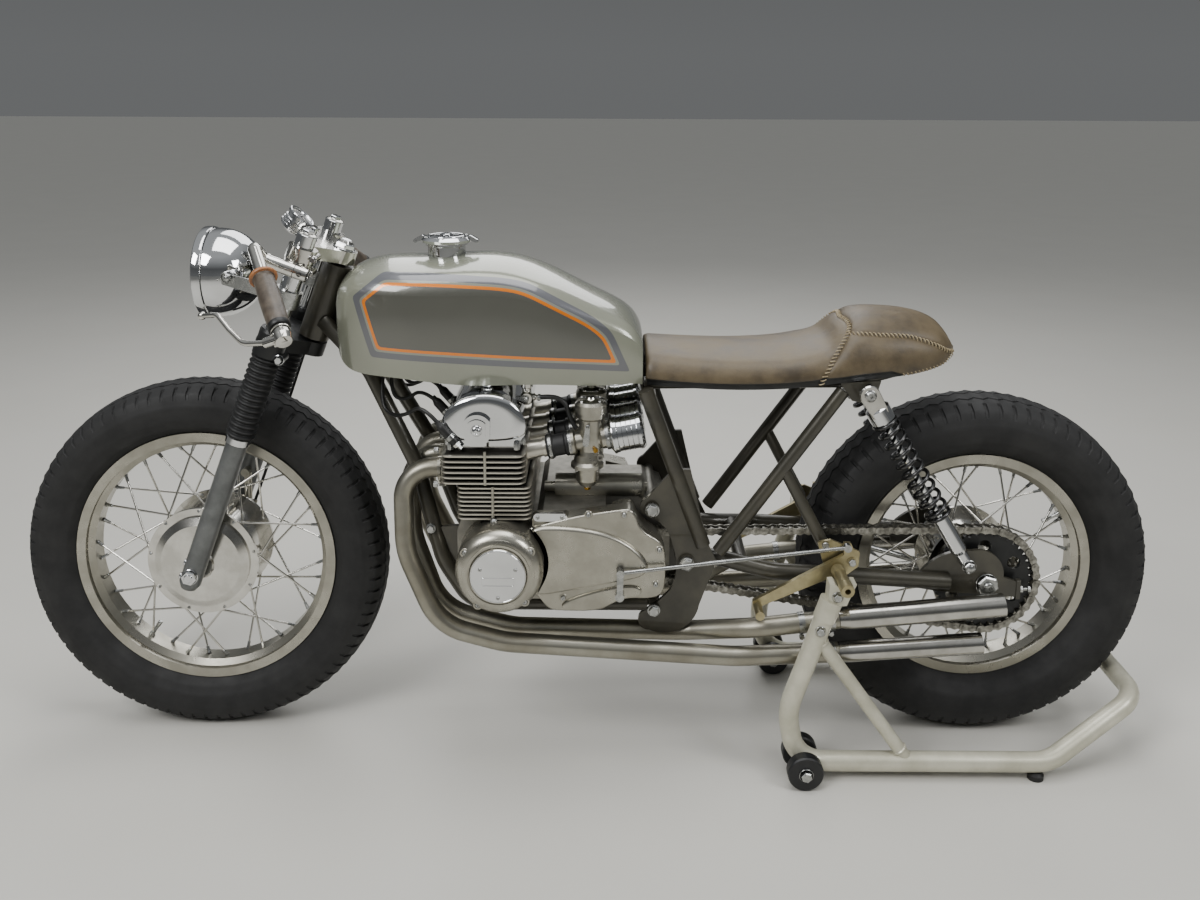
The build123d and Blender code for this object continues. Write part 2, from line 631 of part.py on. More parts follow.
with BuildPart() as gearbox_cover:
    side_plate(cover_outline, -case_half - cover_depth, cover_depth)
    side_plate([(30.2, 335), (30.2, 476), (78, 486), (84, 466), (104, 446), (124, 436), (134, 412),
                (134, 345), (112, 334)], -case_half, case_half - 98)
    side_plate([(-100, 356), (-95, 450), (0, 462), (80, 440, 112, 395), (112, 364), (60, 352)],
               -case_half - cover_depth - 8, 9)
    side_plate([(-94, 440), (-98.5, 468), (-94, 481), (-40, 483), (-34, 472), (-38, 440)],
               -case_half - 26, 24)
    side_plate([(-50, 306), (-44, 326), (40, 352), (92, 356), (96, 334), (60, 331), (20, 306)],
               -case_half - cover_depth - 5, 6)
    bar((crank.X, -90, crank.Z), (crank.X, -case_half - cover_depth - 18, crank.Z), 75.8, Mode.SUBTRACT)
    bar((output.X, -98.5, output.Z), (output.X, -90, output.Z), 52, Mode.SUBTRACT)
save(gearbox_cover, "gearbox_cover")

with BuildPart() as right_covers:
    turned((crank.X, case_half, crank.Z), (0, 1, 0), [(0, 0), (62, 0), (62, 18), (46, 32), (0, 36)])
    side_plate([(-78, 335), (-82, 460), (10, 474), (70, 460), (84, 430), (84, 350), (40, 322)],
               case_half, 44)
save(right_covers, "right_covers")

with BuildPart() as starter_cover:
    bar((-62, -45, 486), (92, -45, 486), 25)
    bar((crank.X + 70, -45, 486), (92, -45, 486), 10)
    side_plate([(-90, 440), (-90, 478.2), (110, 478.2), (110, 440)], -90, 180, 0, Mode.SUBTRACT)
save(starter_cover, "starter_cover")

# Carburettors, intake boots and pod filters, one per cylinder
tower_x = 3
pod_radius = 32

with BuildPart() as carburettors:
    for row in port_rows:
        turned(intake(row, 80), intake(row, 146) - intake(row, 80), [
            (0, 0), (23, 0), (23, 5), (17, 8), (17, 50), (21, 54), (21, 66), (0, 66)])
        turned((tower_x, row, 520), (0, 0, 1), [
            (0, 48), (24, 48), (21, 62), (21, 118), (25, 122), (25, 130), (28, 131), (28, 146), (24, 151),
            (0, 152)])
        turned((tower_x - 6, row, 512), (0, 0, 1), [
            (0, 0), (6, 0), (6, 4), (14, 5), (20, 14), (22, 36), (29, 39), (29, 45), (24, 50), (22, 62),
            (0, 62)])
        bar((tower_x - 8, row - 24, 600), (tower_x - 8, row + 24, 600), 6)
save(carburettors, "carburettors")

with BuildPart() as intake_boots:
    for row in port_rows:
        turned(intake(row, 36.2), intake(row, 79.8) - intake(row, 36.2), [
            (0, 0), (21, 0), (22, 3), (22, 10), (19.5, 13), (19.5, 31), (22, 34), (22, 41), (21, 43.7),
            (0, 43.7)])
save(intake_boots, "intake_boots")

with BuildPart() as pod_filters:
    for row in port_rows:
        turned(intake(row, 146.2), intake(row, 205) - intake(row, 146.2), [
            (0, 0), (pod_radius - 8, 0), (pod_radius, 6), (pod_radius, 14), (pod_radius - 1.5, 15),
            (pod_radius - 1.5, 51), (pod_radius, 52), (pod_radius, 57), (pod_radius - 3, 60), (0, 60)])
save(pod_filters, "pod_filters")

# Exhaust: four headers, their finned clamps, and four short silencers stacked in pairs
pipe_radius = 17.5
exhaust_y = 150
outer_header = [(port_face - 0.2, port_rows[0], port_z), (-331, port_rows[0], port_z), (-326, -135, 400),
                (-266, -exhaust_y, 266), (-150, -exhaust_y, 234), (262, -exhaust_y, 209),
                (447, -exhaust_y, 218)]
inner_header = [(port_face - 0.2, port_rows[1], port_z), (-331, port_rows[1], port_z), (-326, -58, 400),
                (-272, -84, 264), (-140, -90, 232), (168, -88, 225), (300, -exhaust_y, 264),
                (445, -exhaust_y, 282)]

with BuildPart() as header_pipes:
    bent_tube(outer_header, [55, 150, 100, 200, 300], pipe_radius)
    bent_tube(inner_header, [55, 150, 100, 200, 110, 110], pipe_radius)
    both_sides()
save(header_pipes, "header_pipes")

with BuildPart() as header_clamps:
    for row in port_rows:
        turned((port_face - 4, row, port_z), (1, 0, 0), [
            (20.2, 0), (25, 0), (25, 3), (30, 3), (30, 6), (25, 6), (25, 8), (30, 8), (30, 11.5),
            (20.2, 11.5)])
save(header_clamps, "header_clamps")

with BuildPart() as silencers:
    for start, end, radius in ((Vector(*outer_header[-1]), Vector(701, -exhaust_y, 237), 18.5),
                               (Vector(*inner_header[-1]), Vector(736, -exhaust_y, 310), 20.5)):
        length = (end - start).length
        turned(start + (end - start) * 0.003, end - start, [
            (0, 0), (pipe_radius, 0), (radius, 18), (radius, length), (radius - 3, length),
            (radius - 3, length - 90), (0, length - 90)])
    both_sides()
save(silencers, "silencers")

# Fuel tank: sections across it, from the nose to the seat
# Columns: x, top, bottom, half width at the middle and at the bottom
tank_sections = [
    (-447, 868, 748, 78, 70),
    (-425, 892, 722, 100, 92),
    (-371, 908, 714, 124, 114),
    (-270, 912, 704, 134, 122),
    (-134, 909, 700, 132, 120),
    (-40, 872, 698, 124, 112),
    (45, 829, 697, 114, 104),
    (94, 778, 696, 104, 98),
]

cap_centre = Vector(-261, 0, 912)
cap_radius = 34

with BuildPart() as fuel_tank:
    stations = []
    for x, top, bottom, middle, low in tank_sections:
        height = top - bottom
        shoulder, bend, edge = top - 0.25 * height, top - 0.138 * height, top - 0.07 * height
        with BuildSketch(Plane.YZ.offset(x)) as station:
            belly = bottom + 0.45 * height
            make_face(closed([(-low, bottom), (low, bottom), (middle, belly, middle * 0.98, shoulder),
                              (middle * 0.895, bend, middle * 0.73, edge), (0, top, -middle * 0.73, edge),
                              (-middle * 0.895, bend, -middle * 0.98, shoulder),
                              (-middle, belly, -low, bottom)]))
        stations.append(station.sketch)
    loft(stations)
    side_plate([(-470, 690), (-470, 905), (-430, 872), (110, 728), (110, 690)], -24, 48, 0, Mode.SUBTRACT)
    for side in (-1, 1):
        start, end = (Vector(point.X, side * -point.Y, point.Z) for point in downtube_points[:2])
        bar(start, end + (end - start) * 0.4, tube_radius + moving_gap, Mode.SUBTRACT)
    bar((cap_centre.X, 0, cap_centre.Z - 4), (cap_centre.X, 0, 960), cap_radius + 0.2, Mode.SUBTRACT)
    bar(on_leg(fork_offset, 0, head_bottom - 20), on_leg(fork_offset, 0, head_top + 30), head_radius + 9,
        Mode.SUBTRACT)
save(fuel_tank, "fuel_tank")

with BuildPart() as fuel_cap:
    turned(cap_centre - Vector(0, 0, 3.8), (0, 0, 1), [
        (0, 0), (cap_radius, 0), (cap_radius, 20), (cap_radius + 4, 22), (cap_radius + 4, 25), (44, 27),
        (46, 32), (40, 37), (0, 40)])
save(fuel_cap, "fuel_cap")

# Seat: sections across it, from the tank to the tip of the tail
# Columns: x, top, bottom, half width of the top, half width of the bottom
seat_sections = [
    (102, 754, 696, 70, 98),
    (180, 748, 693, 80, 109),
    (260, 745, 692, 86, 115),
    (340, 748, 695, 90, 118),
    (390, 756, 700, 90, 119),
    (425, 767, 704, 86, 118),
    (456, 796, 708, 80, 116),
    (485, 811, 711, 74, 112),
    (540, 813, 715, 66, 104),
    (590, 807, 722, 57, 92),
    (625, 794, 730, 46, 76),
    (648, 772, 739, 30, 52),
    (660, 751, 743, 16, 30),
]

with BuildPart() as seat:
    stations = []
    for x, top, bottom, high, low in seat_sections:
        height = top - bottom
        belly, edge = bottom + 0.4 * height, top - 0.14 * height
        with BuildSketch(Plane.YZ.offset(x)) as station:
            make_face(closed([(-low, bottom), (low, bottom), (low + 2, belly, high + 6, edge),
                              (0, top + 3, -high - 6, edge), (-low - 2, belly, -low, bottom)]))
        stations.append(station.sketch)
    loft(stations, ruled=True)
    side_plate([(98, 680), (98, 711), (476, 715), (545, 726), (545, 690)], -91, 182, 0, Mode.SUBTRACT)
    side_plate([(540, 690), (540, 726), (600, 738), (610, 700)], -76, 152, 0, Mode.SUBTRACT)
save(seat, "seat")

# Rearsets: bracket, foot peg, lever and toe peg on each side
peg = Vector(440, -135, 375)
lever_pivot = Vector(465, -135, 389)
rear_lever_y = -150
toe = Vector(300, rear_lever_y, 306)
peg_end_y = -236

with BuildPart() as rearsets:
    side_plate([(406, 420), (430, 424), (482, 402), (480, 374), (452, 352), (424, 356)], -135.5, 6, 5)
    bar(peg + Vector(0, 1, 0), (peg.X, peg_end_y, peg.Z), 11)
    bar((peg.X, peg_end_y + 30, peg.Z), (peg.X, peg_end_y - 1, peg.Z), 5, Mode.SUBTRACT)
    bar(lever_pivot + Vector(0, 1, 0), lever_pivot - Vector(0, 17, 0), 9)
    side_plate([(toe.X - 8, toe.Z - 8), (toe.X - 8, toe.Z + 8), (450, 402), (450, 424), (462, 424),
                (478, 390), (466, 376)], rear_lever_y, 9)
    bar((toe.X, rear_lever_y + 8, toe.Z), (toe.X, rear_lever_y - 40, toe.Z), 8)
    both_sides()
save(rearsets, "rearsets")

with BuildPart() as shift_linkage:
    shift_y = -case_half - cover_depth - 18
    bar((60, shift_y, 385), (452, rear_lever_y - 6, 418), 3.5)
    bar((56, shift_y - 6, 385), (56, shift_y + 8, 385), 7)
    side_plate([(50, 332), (60, 332), (62, 388), (50, 388)], shift_y + 2, 6)
    bar((55, shift_y + 2, 338), (55, -case_half - cover_depth - 5.2, 338), 8)
    bar((455, rear_lever_y - 10, 418), (455, rear_lever_y - 0.3, 418), 7)
save(shift_linkage, "shift_linkage")

# Drive chain: two rows of side plates and the rollers between them
with BuildPart() as drive_chain:
    def loop_solid(half_height, y_from, depth):
        for offset, mode in ((half_height, Mode.ADD), (-half_height, Mode.SUBTRACT)):
            with BuildSketch(Plane(origin=(0, y_from, 0), x_dir=(1, 0, 0), z_dir=(0, -1, 0))) as loop:
                with Locations((output.X, output.Z)):
                    Circle(front_sprocket_radius + offset)
                with Locations((rear_axle.X, rear_axle.Z)):
                    Circle(sprocket_radius + offset)
                make_hull()
            extrude(loop.sketch, amount=-depth, mode=mode)

    loop_solid(7.2, chain_y - 9.7, 3.2)
    loop_solid(roller_radius, chain_y - 6.5, 13)
    loop_solid(7.2, chain_y + 6.5, 3.2)
save(drive_chain, "drive_chain")

# Rear axle with its spacers, nuts and adjusters, and the brake plate on the right
with BuildPart() as rear_brake:
    axle_end = Vector(0, axle_plate_y + 18, 0)
    bar(rear_axle - axle_end, rear_axle + axle_end, axle_radius)
    inner_face = axle_plate_y - 4
    spacer_end = chain_y - sprocket_thickness / 2 - moving_gap
    turned(rear_axle, (0, 1, 0), [(0, -inner_face), (15, -inner_face), (15, spacer_end), (0, spacer_end)])
    brake_y = rear_flange_y + 6 + moving_gap
    turned(rear_axle, (0, 1, 0), [
        (0, brake_y), (rear_drum_radius - 6, brake_y), (rear_drum_radius - 6, brake_y + 5),
        (48, brake_y + 11), (18, brake_y + 16), (18, inner_face), (0, inner_face)])
    for side in (-1, 1):
        turned(rear_axle + Vector(0, side * (axle_plate_y + 4), 0), (0, side, 0), [
            (0, 0), (15, 0), (15, 9), (12, 11), (0, 11)])
    lug = rear_axle + Vector(-32, 0, -49)
    stay = arm_bend + (arm_tip - arm_bend) * 0.3125
    bar((lug.X, brake_y + 2, lug.Z), (lug.X, brake_y + 24, lug.Z), 8)
    bar((lug.X, brake_y + 19, lug.Z), (stay.X, arm_half - arm_radius - 13, stay.Z), 6)
    bar((stay.X, arm_half - arm_radius - 19, stay.Z), (stay.X, arm_half - arm_radius - 0.2, stay.Z), 8)
save(rear_brake, "rear_brake")

# Paddock stand: one bent tube, braces, cradles under the foot pegs, pins for the castors
upright_top = Vector(414, -stand_half, 312)
stand_rail_z = castor_radius
castor_x = 382
stand_points = [(414, -stand_half, 312), (352, -stand_half, 128), (370, -stand_half, stand_rail_z),
                (820, -stand_half, stand_rail_z), (1002, -120, 118), (1002, 120, 118),
                (820, stand_half, stand_rail_z), (370, stand_half, stand_rail_z), (352, stand_half, 128),
                (414, stand_half, 312)]
foot_x = 799

with BuildPart() as stand_frame:
    bar((401, -stand_half, 268), (568, -stand_half, 36), 12)
    bar(upright_top - Vector(3, 0, 9), upright_top + Vector(9, 0, 27), 20)
    side_plate([(414, 334), (446, 334), (462, 373), (455, 373.5), (440, 359), (425, 373.5), (416, 373)],
               -stand_half - 15, 30)
    bar((castor_x, -stand_half - 44, stand_rail_z), (castor_x, -stand_half + 44, stand_rail_z), 6)
    both_sides()
    bent_tube(stand_points, [120, 60, 90, 55, 55, 90, 60, 120], stand_tube_radius)
save(stand_frame, "stand_frame")

with BuildPart() as stand_feet:
    turned((foot_x, -stand_half, 0), (0, 0, 1), [(0, 0), (14, 0), (14, 9), (9, 13.8), (0, 13.8)])
    both_sides()
save(stand_feet, "stand_feet")

for side, name in ((-1, "castors_left"), (1, "castors_right")):
    with BuildPart() as castors:
        for inner in (-1, 1):
            near = side * stand_half + inner * (stand_tube_radius + 2)
            turned((castor_x, near, stand_rail_z), (0, inner, 0), [
                (6 + running, 0), (castor_radius - 2, 0), (castor_radius, 3),
                (castor_radius, castor_width - 3), (castor_radius - 2, castor_width),
                (6 + running, castor_width)])
    save(castors, name)
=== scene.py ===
import json
from math import atan2, cos, hypot, pi, radians, sin, sqrt

import bpy
from mathutils import Matrix, Vector, kdtree


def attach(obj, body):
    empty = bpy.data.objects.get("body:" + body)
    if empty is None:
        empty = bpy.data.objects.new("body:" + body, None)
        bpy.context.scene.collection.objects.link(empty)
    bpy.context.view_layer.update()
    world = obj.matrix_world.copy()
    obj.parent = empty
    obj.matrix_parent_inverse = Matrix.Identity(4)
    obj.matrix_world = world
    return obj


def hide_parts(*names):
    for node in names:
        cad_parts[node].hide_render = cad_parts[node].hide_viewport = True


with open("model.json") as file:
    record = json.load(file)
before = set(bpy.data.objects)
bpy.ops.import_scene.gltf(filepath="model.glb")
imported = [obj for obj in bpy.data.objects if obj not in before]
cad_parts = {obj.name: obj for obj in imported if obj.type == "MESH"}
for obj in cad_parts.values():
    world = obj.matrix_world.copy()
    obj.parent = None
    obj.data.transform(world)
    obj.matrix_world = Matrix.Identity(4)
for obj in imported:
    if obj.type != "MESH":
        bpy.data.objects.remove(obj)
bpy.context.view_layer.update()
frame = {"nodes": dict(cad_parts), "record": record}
nodes = frame["nodes"]


# small helpers
def linear(hexColour):
    # sRGB hex to the linear colour that Blender's sockets take
    parts = [int(hexColour[i:i + 2], 16) / 255 for i in (1, 3, 5)]
    return [p / 12.92 if p <= 0.04045 else ((p + 0.055) / 1.055) ** 2.4 for p in parts] + [1]


def addNode(tree, kind, links=None, stops=(), **settings):
    # links: socket name -> another node's output, or a plain value; stops: a ramp's places and hex colours
    node = tree.nodes.new(kind)
    for name, value in settings.items():
        setattr(node, name, value)
    for name, value in (links or {}).items():
        socket = node.inputs[name]
        if isinstance(value, bpy.types.NodeSocket):
            tree.links.new(value, socket)
        else:
            socket.default_value = value
    for index, (position, tone) in enumerate(stops):
        element = node.color_ramp.elements[index] if index < 2 else node.color_ramp.elements.new(position)
        element.position, element.color = position, linear(tone)
    return node


def startMaterial(name, **sockets):
    # a Principled material; constants go straight on the shader's sockets
    material = bpy.data.materials.new(name)
    material.use_nodes = True
    tree = material.node_tree
    shader = tree.nodes["Principled BSDF"]
    for socket, value in sockets.items():
        shader.inputs[socket.replace("_", " ")].default_value = value
    return material, tree, shader


def patchedSurface(name, tone, darkTone, metallic, roughness, patchMm, grainMm, relief, coat=0):
    # two tones in patches, roughness that drifts with them, and a fine relief over all
    material, tree, shader = startMaterial(name, Metallic=metallic)
    if coat:
        shader.inputs["Coat Weight"].default_value = coat
        shader.inputs["Coat Roughness"].default_value = 0.05
    place = addNode(tree, "ShaderNodeTexCoord").outputs["Object"]
    patches = addNode(tree, "ShaderNodeTexNoise", {
        "Vector": place, "Scale": 1000 / patchMm, "Detail": 5, "Roughness": 0.6}).outputs["Fac"]
    tones = addNode(tree, "ShaderNodeValToRGB", {"Fac": patches}, [(0.38, darkTone), (0.64, tone)])
    tree.links.new(tones.outputs["Color"], shader.inputs["Base Color"])
    rough = addNode(tree, "ShaderNodeMapRange", {
        "Value": patches, "From Min": 0.3, "From Max": 0.7, "To Min": roughness[1], "To Max": roughness[0]})
    tree.links.new(rough.outputs["Result"], shader.inputs["Roughness"])
    grain = addNode(tree, "ShaderNodeTexNoise", {
        "Vector": place, "Scale": 1000 / grainMm, "Detail": 3, "Roughness": 0.55})
    bump = addNode(tree, "ShaderNodeBump", {
        "Height": grain.outputs["Fac"], "Strength": relief, "Distance": grainMm / 4000})
    tree.links.new(bump.outputs["Normal"], shader.inputs["Normal"])
    return material


# camera, fitted to the photograph
camera = {"place": (0.024, -1.977, 1.234), "yaw": 0.18, "pitch": 9.53, "roll": 0.24, "lens": 33.0, "shift": -0.1583}


def placeCamera(look):
    data = bpy.data.cameras.new("camera")
    data.lens, data.sensor_width, data.shift_y = look["lens"], 36, look["shift"]
    data.clip_end = 100
    yaw, pitch, roll = (radians(look[key]) for key in ("yaw", "pitch", "roll"))
    ahead = Vector((-sin(yaw) * cos(pitch), cos(yaw) * cos(pitch), -sin(pitch)))
    level = Vector((cos(yaw), sin(yaw), 0))
    upright = level.cross(ahead)
    right = level * cos(roll) + upright * sin(roll)
    up = upright * cos(roll) - level * sin(roll)
    thing = bpy.data.objects.new("camera", data)
    bpy.context.scene.collection.objects.link(thing)
    thing.matrix_world = Matrix.Translation(look["place"]) @ Matrix((right, up, -ahead)).transposed().to_4x4()
    bpy.context.scene.camera = thing


placeCamera(camera)

# floor, sky and lamps
studio = {
    "floor": "#c9c7c0", "floorShade": "#c3c1ba", "cloudMm": 333,
    "sky": [(0.02, "#8f9192"), (0.75, "#eef1f3"), (0.28, "#77797a")], "skyStrength": 0.5,
    "lamps": [  # place, target, size in metres, watts
        ((-2.2, -2.6, 3.2), (-0.2, 0, 0.5), 1.6, 115), ((2.6, -1.8, 2.6), (0.3, 0, 0.4), 1.2, 50),
        ((0.0, 2.8, 3.0), (0, 0, 0.6), 2.5, 60), ((0.0, -0.2, 3.6), (0, 0, 0), 2.2, 70)],
}


def buildStudio(look):
    bpy.ops.mesh.primitive_plane_add(size=60)
    ground = bpy.context.object
    ground.name = "floor"
    # painted concrete: matt, with broad faint clouds that keep it from looking flat
    material, tree, shader = startMaterial("paintedConcrete", Roughness=0.55)
    place = addNode(tree, "ShaderNodeTexCoord").outputs["Object"]
    clouds = addNode(tree, "ShaderNodeTexNoise", {"Vector": place, "Scale": 1000 / look["cloudMm"], "Detail": 6})
    tones = addNode(tree, "ShaderNodeMix", {"Factor": clouds.outputs["Fac"]}, data_type="RGBA")
    tones.inputs["A"].default_value = linear(look["floorShade"])
    tones.inputs["B"].default_value = linear(look["floor"])
    tree.links.new(tones.outputs["Result"], shader.inputs["Base Color"])
    ground.data.materials.append(material)
    world = bpy.data.worlds.new("studio")
    bpy.context.scene.world = world
    world.use_nodes = True
    tree = world.node_tree
    sky = tree.nodes["Background"]
    height = addNode(tree, "ShaderNodeSeparateXYZ", {
        "Vector": addNode(tree, "ShaderNodeTexCoord").outputs["Generated"]}).outputs["Z"]
    fade = addNode(tree, "ShaderNodeValToRGB", {"Fac": height}, look["sky"])
    tree.links.new(fade.outputs["Color"], sky.inputs["Color"])
    sky.inputs["Strength"].default_value = look["skyStrength"]
    for index, (place, target, size, watts) in enumerate(look["lamps"]):
        data = bpy.data.lights.new(f"softbox{index}", "AREA")
        data.size, data.energy = size, watts
        lamp = bpy.data.objects.new(f"softbox{index}", data)
        bpy.context.scene.collection.objects.link(lamp)
        lamp.location = place
        lamp.rotation_euler = (Vector(target) - Vector(place)).to_track_quat("-Z", "Y").to_euler()


buildStudio(studio)
print("studio ready")

# finishes: light tone, dark tone, metallic, roughness from and to, patch mm, grain mm, relief, clear coat
# patches are the size of handling marks and drifts; real grain is finer than 0.2 mm and is drawn coarser to show
finishes = {
    # sprayed satin paint on the frame: brown-grey with soft long highlights
    "satinFramePaint": ("#454238", "#37352d", 0.35, (0.30, 0.42), 60, 0.8, 0.05, 0.4),
    # sprayed metallic cream on the stand: pale tubes with a dull sheen
    "creamStandPaint": ("#c9c6b4", "#b3b09d", 0.3, (0.32, 0.45), 70, 0.9, 0.06, 0.3),
    # sand-cast aluminium: grey and grainy, scatters the lamps
    "sandCastAluminium": ("#959289", "#7f7d76", 0.85, (0.40, 0.54), 30, 0.7, 0.35),
    # die-cast aluminium, brushed down: warm and even, broad highlights
    "satinCoverAluminium": ("#aeaba0", "#9b988d", 0.95, (0.24, 0.34), 60, 0.6, 0.08),
    # buffed aluminium: bright, slightly clouded reflections
    "polishedAluminium": ("#d2d0ca", "#bdbbb4", 1.0, (0.10, 0.2), 40, 0.5, 0.03),
    # bronze anodised aluminium, milled: pale gold with a silky sheen
    "bronzeAnodisedAluminium": ("#b4aa86", "#9d9372", 0.9, (0.28, 0.38), 25, 0.5, 0.04),
    # chromed steel: cold mirror
    "chromedSteel": ("#dadbdc", "#cfd0d1", 1.0, (0.04, 0.09), 80, 1.5, 0.01),
    # drawn steel pipe, brushed and warmed by the exhaust: yellowish streaks of light
    "rawPipeSteel": ("#a3a094", "#8b877a", 0.95, (0.32, 0.43), 120, 0.8, 0.08),
    # polished stainless steel: bright with a warm cast
    "polishedSteel": ("#c4c2bc", "#a9a7a0", 1.0, (0.14, 0.24), 60, 0.6, 0.04),
    # zinc-plated steel of screws and nuts: light grey glints
    "platedSteel": ("#b5b6b4", "#9a9b99", 1.0, (0.22, 0.34), 12, 0.5, 0.06),
    # oiled chain steel, punched: patchy grey, wet-looking
    "oiledChainSteel": ("#a09e96", "#6a6861", 0.95, (0.26, 0.42), 10, 0.6, 0.1),
    # sprayed grey paint on the fork's sliders: plain, with a weak metallic glow
    "greySliderPaint": ("#6a6c6b", "#565857", 0.4, (0.32, 0.42), 40, 0.8, 0.05, 0.3),
    # stoved black enamel on spring wire: sharp small glints
    "blackSpringEnamel": ("#101010", "#0b0b0b", 0.0, (0.22, 0.3), 30, 0.8, 0.04, 0.5),
    # black paint on small steel parts: dull black; also the black lines of painted shade in the slots of the lever
    # perches
    "blackSteelPaint": ("#1d1e1e", "#141515", 0.2, (0.35, 0.5), 30, 0.8, 0.05),
    # moulded tyre rubber: matt charcoal that lightens at grazing light
    "tyreRubber": ("#1b1b1b", "#131313", 0.0, (0.62, 0.78), 50, 0.9, 0.2),
    # moulded soft rubber: black with a greasy sheen
    "gaiterRubber": ("#151515", "#0e0e0e", 0.0, (0.5, 0.62), 30, 0.9, 0.1),
    # moulded hard rubber of plug caps and leads: black, smoother than the gaiters; also the black discs of painted
    # shade inside the clip-ons' open tube ends
    "blackCapRubber": ("#1a1a19", "#121211", 0.0, (0.38, 0.5), 20, 0.8, 0.1),
    # moulded nylon of the castors: black, evenly satin
    "castorNylon": ("#17181a", "#101112", 0.0, (0.4, 0.5), 30, 0.8, 0.05),
    # twisted linen thread, waxed: dull straw colour
    "waxedThread": ("#a39577", "#83755a", 0.0, (0.5, 0.65), 8, 0.5, 0.3),
    # turned brass, tarnished: brown-gold spots of colour on the carburettors
    "tarnishedBrass": ("#b08a3e", "#876627", 1.0, (0.25, 0.4), 6, 0.4, 0.06),
    # pressed glass: clear, with faint waves
    "headlightGlass": ("#f2f5f5", "#eef1f2", 0.0, (0.02, 0.04), 60, 8, 0.02),
    # frosted bulb glass: milky white
    "frostedBulb": ("#f4f1e8", "#ebe7dc", 0.0, (0.25, 0.35), 9, 0.6, 0.05),
    # dial enamel, fired: glossy blue-black
    "dialEnamel": ("#16181b", "#101214", 0.0, (0.18, 0.25), 12, 0.5, 0.02, 1.0),
    # screen-printed marks: flat off-white
    "dialPrint": ("#e9e7dd", "#dcd9cf", 0.0, (0.5, 0.6), 6, 0.4, 0.05),
}
materials = {name: patchedSurface(name, *look) for name, look in finishes.items()}
materials["headlightGlass"].node_tree.nodes["Principled BSDF"].inputs["Transmission Weight"].default_value = 0.92


# cast aluminium fins: bright machined edges, dark grey deep between them, by the depth from the block's edges
def finnedSurface(name, look):
    material, tree, shader = startMaterial(name, Metallic=0.9)
    place = addNode(tree, "ShaderNodeTexCoord").outputs["Object"]
    axes = addNode(tree, "ShaderNodeSeparateXYZ", {"Vector": place})
    side = addNode(tree, "ShaderNodeMath", {0: axes.outputs["Y"]}, operation="ABSOLUTE")
    depth = addNode(tree, "ShaderNodeMath", {0: side.outputs["Value"], 1: look["half"]}, operation="SUBTRACT")
    for limit, sign in ((look["front"], -1), (look["back"], 1)):
        part = addNode(tree, "ShaderNodeMath", {0: axes.outputs["X"], 1: sign, 2: -sign * limit},
                       operation="MULTIPLY_ADD")
        depth = addNode(tree, "ShaderNodeMath", {0: depth.outputs["Value"], 1: part.outputs["Value"]},
                        operation="MAXIMUM")
    edge = addNode(tree, "ShaderNodeMapRange", {
        "Value": depth.outputs["Value"], "From Min": -0.009, "From Max": -0.0012, "To Min": 0.0, "To Max": 1.0})
    stain = addNode(tree, "ShaderNodeTexNoise", {"Vector": place, "Scale": 1000 / look["stainMm"], "Detail": 5})
    share = addNode(tree, "ShaderNodeMath", {0: stain.outputs["Fac"], 1: 0.55, 2: -0.28}, operation="MULTIPLY_ADD")
    mixed = addNode(tree, "ShaderNodeMath", {0: edge.outputs["Result"], 1: share.outputs["Value"]},
                    operation="ADD").outputs["Value"]
    tones = addNode(tree, "ShaderNodeValToRGB", {"Fac": mixed}, [(0.1, look["deep"]), (0.9, look["edge"])])
    tree.links.new(tones.outputs["Color"], shader.inputs["Base Color"])
    rough = addNode(tree, "ShaderNodeMapRange", {
        "Value": mixed, "From Min": 0.0, "From Max": 1.0, "To Min": 0.7, "To Max": 0.34})
    tree.links.new(rough.outputs["Result"], shader.inputs["Roughness"])
    grain = addNode(tree, "ShaderNodeTexNoise", {"Vector": place, "Scale": 1000 / look["grainMm"], "Detail": 3})
    relief = addNode(tree, "ShaderNodeBump", {"Height": grain.outputs["Fac"], "Strength": 0.2, "Distance": 0.0002})
    tree.links.new(relief.outputs["Normal"], shader.inputs["Normal"])
    return material


finned = {  # half width, front and back in metres
    "cylindersFins": dict(half=0.176, front=-0.228, back=-0.099, edge="#c4c0b4", deep="#2b2a27", stainMm=25,
                          grainMm=0.714),
    "cylinder_headFins": dict(half=0.184, front=-0.254, back=-0.108, edge="#c4c0b4", deep="#34322e", stainMm=25,
                              grainMm=0.714),
}
for name, look in finned.items():
    materials[name] = finnedSurface(name, look)

# finish of the CAD's pieces by slot, then of single nodes; the tank is painted below, seat, grips and lens are replaced
slotFinish = {
    "frame_paint": "satinFramePaint", "stand_paint": "creamStandPaint", "cast_alloy": "sandCastAluminium",
    "satin_alloy": "satinCoverAluminium", "polished_alloy": "polishedAluminium",
    "bronze_alloy": "bronzeAnodisedAluminium", "chrome": "chromedSteel", "pipe_steel": "rawPipeSteel",
    "polished_steel": "polishedSteel", "bright_steel": "platedSteel", "chain_steel": "oiledChainSteel",
    "slider_paint": "greySliderPaint", "spring_paint": "blackSpringEnamel", "black_steel": "blackSteelPaint",
    "tyre_rubber": "tyreRubber", "gaiter_rubber": "gaiterRubber", "boot_rubber": "gaiterRubber",
    "foot_rubber": "gaiterRubber", "castor_plastic": "castorNylon", "cable_sheath": "gaiterRubber",
}
nodeFinish = {part["node"]: slotFinish[part["material_slot"]] for part in frame["record"]["subparts"]
              if part["material_slot"] in slotFinish}
nodeFinish |= {"cylinders": "cylindersFins", "cylinder_head": "cylinder_headFins", "rocker_cover": "chromedSteel",
               "alternator_cover": "satinCoverAluminium", "header_clamps": "satinCoverAluminium"}
for nodeName, finish in nodeFinish.items():
    for place in nodes[nodeName].material_slots:
        place.material = materials[finish]
print("materials ready")


